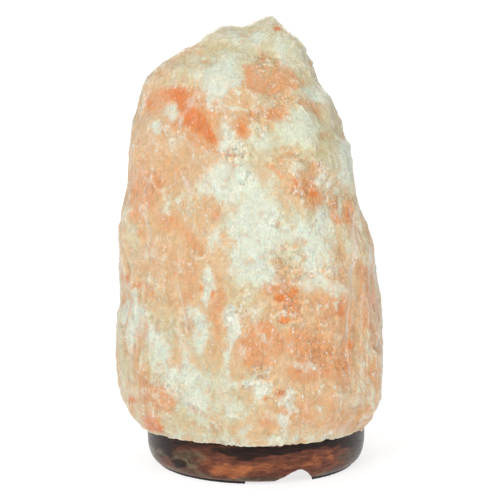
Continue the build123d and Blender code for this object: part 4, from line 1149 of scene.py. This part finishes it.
# dark stain, and the painted shadow of the overhanging salt along the top
c = m.mix(m.math("MULTIPLY", zone(dark, 0.12, 0.75), 0.94), c, m.mix(m.step(grain, 0.4, 0.65), lin(16, 10, 9), lin(40, 24, 18)))
c = m.mix(m.math("MULTIPLY", m.step(fibre, 0.54, 0.7), 0.26), c, lin(38, 20, 13))
c = m.mix(m.math("MULTIPLY", m.step(pores, 0.60, 0.72), 0.5), c, lin(18, 9, 6))
m.set("Base Color", c)
m.set("Roughness", m.step(grain, 0.3, 0.7, 0.20, 0.36))
m.b.inputs["IOR"].default_value = 1.42
m.b.inputs["Specular IOR Level"].default_value = 0.24
hh = m.math("SUBTRACT", m.math("ADD", m.math("MULTIPLY", grain, 0.6), m.math("MULTIPLY", fibre, 0.35)), m.math("MULTIPLY", m.step(pores, 0.60, 0.72), 0.5))
m.set("Normal", m.bump(hh, 0.4, 0.0005))
base.data.materials.clear()
base.data.materials.append(m.m)
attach(base, "lamp")
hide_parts("wooden_base")

# felt
m = Mat("black_felt")
co = m.coord()
f1 = m.noise(co, 1600.0, 4.0, 0.7)
f2 = m.noise(m.mapping(co, (1, 1, 3)), 600.0, 3.0, 0.6)
m.set("Base Color", m.mix(f1, lin(14, 14, 14), lin(44, 43, 42)))
m.b.inputs["Roughness"].default_value = 0.95
m.b.inputs["Sheen Weight"].default_value = 0.3
m.b.inputs["Sheen Roughness"].default_value = 0.5
m.set("Normal", m.bump(m.math("ADD", f1, f2), 0.6, 0.0008))
felt = make_felt()
felt.data.materials.clear()
felt.data.materials.append(m.m)
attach(felt, "lamp")
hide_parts("felt_ring")

# ---------------------------------------------------------------------------
# The bulb holder, the bulb and the fixings
# ---------------------------------------------------------------------------


def metal(name, colour, rough, brushed=0.0, dirt=0.12, tint=None, scratch=2600.0):
    m = Mat(name)
    co = m.coord()
    n1 = m.noise(co, 240.0, 4.0, 0.6)
    n2 = m.noise(m.mapping(co, (1, 1, 0.08)), scratch, 3.0, 0.6)
    dark = tuple(c * 0.62 for c in (tint or colour)[:3]) + (1,)
    m.set("Base Color", m.mix(mul2(m, m.step(n1, 0.5, 0.72), dirt * 3), colour, dark))
    m.b.inputs["Metallic"].default_value = 1.0
    m.set("Roughness", m.math("ADD", m.step(n1, 0.3, 0.7, rough * 0.8, rough * 1.3), mul2(m, m.math("SUBTRACT", n2, 0.5), 0.12)))
    m.set("Normal", m.bump(m.math("ADD", n1, mul2(m, n2, 0.6)), 0.12 + brushed, 0.0002))
    return m.m


def mul2(m, a, b):
    return m.math("MULTIPLY", a, b)


zinc = metal("zinc_plated_steel", lin(186, 190, 196), 0.30, 0.05)
plate = metal("plated_plate", lin(200, 198, 184), 0.30, 0.08, 0.08, lin(168, 162, 134))
spring = metal("spring_steel", lin(170, 174, 180), 0.24, 0.06, 0.1)
brass = metal("brass_parts", lin(214, 170, 96), 0.24, 0.05, 0.2, lin(150, 104, 60))
cap_metal = metal("bulb_cap_metal", lin(206, 208, 210), 0.26, 0.05, 0.15)
solder = metal("solder", lin(172, 172, 170), 0.42, 0.2, 0.2)
wire = metal("filament_wire", lin(120, 122, 128), 0.35)

m = Mat("white_plastic")
co = m.coord()
n1 = m.noise(co, 300.0, 3.0, 0.5)
m.set("Base Color", m.mix(n1, lin(232, 231, 226), lin(222, 221, 214)))
m.set("Roughness", m.step(n1, 0.3, 0.7, 0.36, 0.5))
m.b.inputs["Subsurface Weight"].default_value = 0.15
m.b.inputs["Subsurface Radius"].default_value = (0.6, 0.55, 0.5)
m.b.inputs["Subsurface Scale"].default_value = 0.001
m.set("Normal", m.bump(m.noise(co, 1800.0, 2.0, 0.5), 0.08, 0.0002))
white_plastic = m.m

m = Mat("holder_plastic")
co = m.coord()
n1 = m.noise(co, 260.0, 4.0, 0.55)
m.set("Base Color", m.mix(n1, lin(20, 19, 19), lin(34, 32, 31)))
m.set("Roughness", m.step(n1, 0.3, 0.7, 0.2, 0.36))
m.set("Normal", m.bump(m.math("ADD", m.noise(co, 90.0, 2.0, 0.5), mul2(m, m.noise(co, 1500.0, 2.0, 0.5), 0.15)), 0.16, 0.0004))
holder_plastic = m.m

m = Mat("insulator_ceramic")
co = m.coord()
n1 = m.noise(co, 400.0, 4.0, 0.6)
m.set("Base Color", m.mix(n1, lin(238, 234, 222), lin(222, 214, 198)))
m.set("Roughness", m.step(n1, 0.3, 0.7, 0.42, 0.6))
m.set("Normal", m.bump(n1, 0.2, 0.0003))
ceramic = m.m

m = Mat("black_glass")
co = m.coord()
n1 = m.noise(co, 500.0, 3.0, 0.5)
m.set("Base Color", m.mix(n1, lin(12, 11, 14), lin(26, 22, 30)))
m.set("Roughness", m.step(n1, 0.3, 0.7, 0.08, 0.18))
m.set("Normal", m.bump(n1, 0.1, 0.0003))
black_glass = m.m

m = Mat("clear_glass")
co = m.coord()
n1 = m.noise(co, 120.0, 2.0, 0.5)
m.set("Base Color", m.mix(n1, (0.99, 1.0, 0.995, 1), (0.965, 0.98, 0.975, 1)))
m.b.inputs["Roughness"].default_value = 0.015
m.b.inputs["IOR"].default_value = 1.5
m.b.inputs["Transmission Weight"].default_value = 1.0
m.set("Normal", m.bump(n1, 0.04, 0.0005))
clear_glass = m.m

PITCH_E14 = 2.822


def lathe(name, rings, around=144):
    """A turned piece: rings gives, for every angle, the loop of (radius, height) points (mm) of its section."""
    verts, faces = [], []
    k = None
    for i in range(around):
        a = 2 * math.pi * i / around
        loop = rings(a)
        k = len(loop)
        verts += [(r * math.cos(a) * MM, r * math.sin(a) * MM, z * MM) for r, z in loop]
    for i in range(around):
        j = (i + 1) % around
        for q in range(k):
            w = (q + 1) % k
            faces.append((i * k + q, j * k + q, j * k + w, i * k + w))
    me = bpy.data.meshes.new(name)
    me.from_pydata(verts, [], faces)
    bm = bmesh.new()
    bm.from_mesh(me)
    bmesh.ops.recalc_face_normals(bm, faces=bm.faces)
    bm.to_mesh(me)
    bm.free()
    shade_smooth(me)
    o = bpy.data.objects.new(name, me)
    scene.collection.objects.link(o)
    return o


def fade(z, a, b):
    t = min(max((z - a) / (b - a), 0.0), 1.0)
    return t * t * (3 - 2 * t)


def wave(a, z):
    c = math.cos(2 * math.pi * z / PITCH_E14 - a)
    return c * (1.28 - 0.28 * c * c)


def cap_section(a):
    """The rolled E14 thread of the bulb cap, with its plain collar and crimped lower edge."""
    out = []
    z = 39.3
    while z <= 50.9:
        g = fade(z, 39.6, 41.2) * (1 - fade(z, 49.9, 50.8))
        r = 6.605 + 0.325 * wave(a, z) * g
        taper = 6.02 + (z - 39.3) * 0.62
        r = min(r, taper) if z < 41.6 else r
        r = r * (1 - fade(z, 49.9, 50.9)) + 6.80 * fade(z, 49.9, 50.9)
        out.append((r, z))
        z += 0.2
    out += [(6.90, 51.2), (6.93, 51.6), (6.90, 52.2), (6.82, 52.6), (6.80, 54.6), (6.84, 55.0), (6.90, 55.25), (6.88, 55.5), (6.78, 55.6)]
    out += [(6.62, 55.58), (6.56, 55.4), (6.55, 51.2), (6.1, 50.2), (6.02, 49.0), (6.02, 41.4), (5.75, 40.6), (5.72, 39.4), (5.82, 39.22)]
    return out


def shell_section(a):
    """The screw shell of the holder, rolled to the same thread."""
    out = []
    z = 36.25
    while z <= 51.2:
        g = fade(z, 37.2, 38.8) * (1 - fade(z, 48.8, 50.0))
        r = 7.02 * (1 - g) + (6.78 + 0.27 * wave(a, z)) * g
        out.append((r, z))
        z += 0.2
    out += [(7.02, 52.0), (7.02, 54.6), (7.08, 55.0), (7.3, 55.4), (7.6, 55.62), (7.85, 55.42), (7.88, 55.2), (7.7, 55.05), (7.44, 54.8), (7.40, 54.4), (7.40, 36.4), (7.3, 36.2), (7.06, 36.2)]
    return out


bulb_thread = lathe("bulb_cap_rolled", cap_section)
bulb_thread.data.materials.append(cap_metal)
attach(bulb_thread, "bulb")
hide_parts("bulb_cap")
shell_thread = lathe("screw_shell_rolled", shell_section)
shell_thread.data.materials.append(brass)
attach(shell_thread, "holder")
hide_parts("screw_shell")

for nodes, mat in (
    (("base_screws", "threaded_nipple", "lock_washer", "nipple_nut", "terminal_screws"), zinc),
    (("holder_plate",), plate),
    (("spring_bridge", "clip_wing_left", "clip_wing_right"), spring),
    (("cord_bushing",), white_plastic),
    (("socket_base_cap", "socket_sleeve"), holder_plastic),
    (("centre_contact", "side_contact", "terminal_blocks"), brass),
    (("contact_insulator",), ceramic),
    (("bulb_tip_contact",), solder),
    (("bulb_cap_insulator",), black_glass),
    (("bulb_glass", "bulb_stem"), clear_glass),
    (("filament", "lead_wires", "filament_supports"), wire),
):
    for node in nodes:
        assign(node, mat)

# ---------------------------------------------------------------------------
# Floor, backdrop and light
# ---------------------------------------------------------------------------


def white_floor():
    me = bpy.data.meshes.new("studio_floor")
    bm = bmesh.new()
    bmesh.ops.create_circle(bm, cap_ends=True, radius=6.0, segments=96)
    bm.to_mesh(me)
    bm.free()
    o = bpy.data.objects.new("studio_floor", me)
    scene.collection.objects.link(o)
    mm = Mat("studio_paper")
    mm.b.inputs["Base Color"].default_value = (0.36, 0.36, 0.36, 1)
    mm.b.inputs["Roughness"].default_value = 1.0
    mm.b.inputs["Specular IOR Level"].default_value = 0.0
    mm.b.inputs["Emission Color"].default_value = (1, 1, 1, 1)
    far = mm.vmath("LENGTH", mm.coord())
    mm.set("Emission Strength", mm.step(far, 0.5, 2.5, 0.76, 1.0))
    me.materials.append(mm.m)
    return o


floor = white_floor()
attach(floor, "holder")


def area(name, loc, target, size, power, colour=(1, 1, 1)):
    d = bpy.data.lights.new(name, "AREA")
    d.shape = "RECTANGLE"
    d.size, d.size_y = size
    d.energy = power
    d.color = colour
    o = bpy.data.objects.new(name, d)
    scene.collection.objects.link(o)
    o.location = loc
    o.rotation_euler = (Vector(target) - Vector(loc)).to_track_quat("-Z", "Y").to_euler()
    return o


area("key", (-0.5, -0.98, 0.78), (0, 0, 0.1), (0.5, 0.5), 6.2)
area("fill", (0.95, -0.55, 0.45), (0, 0, 0.1), (0.7, 0.7), 1.8)
area("top", (0.05, 0.25, 1.3), (0, 0, 0.1), (0.8, 0.8), 2.7)
area("back", (0.05, 1.35, 0.55), (0, 0, 0.1), (0.9, 0.6), 4.2)
area("back_left", (-1.0, 0.5, 0.5), (0, 0, 0.12), (0.7, 0.7), 2.6)
area("glint_a", (-0.25, -1.1, 0.75), (0, 0, 0.12), (0.035, 0.035), 1.6)
area("glint_b", (0.5, -0.9, 0.6), (0, 0, 0.12), (0.03, 0.03), 1.1)
area("glint_c", (0.1, -1.0, 1.2), (0, 0, 0.12), (0.035, 0.035), 1.2)
world = bpy.data.worlds.new("world")
world.use_nodes = True
wt = world.node_tree
dim = wt.nodes["Background"]
dim.inputs[0].default_value = (1, 1, 1, 1)
dim.inputs[1].default_value = 0.30
bright = wt.nodes.new("ShaderNodeBackground")
bright.inputs[0].default_value = (1, 1, 1, 1)
bright.inputs[1].default_value = 1.02
rays = wt.nodes.new("ShaderNodeLightPath")
pick = wt.nodes.new("ShaderNodeMixShader")
wt.links.new(rays.outputs["Is Camera Ray"], pick.inputs[0])
wt.links.new(dim.outputs[0], pick.inputs[1])
wt.links.new(bright.outputs[0], pick.inputs[2])
wt.links.new(pick.outputs[0], wt.nodes["World Output"].inputs[0])
scene.world = world
scene.view_settings.view_transform = "Standard"
scene.view_settings.look = "None"
scene.view_settings.exposure = 0.0
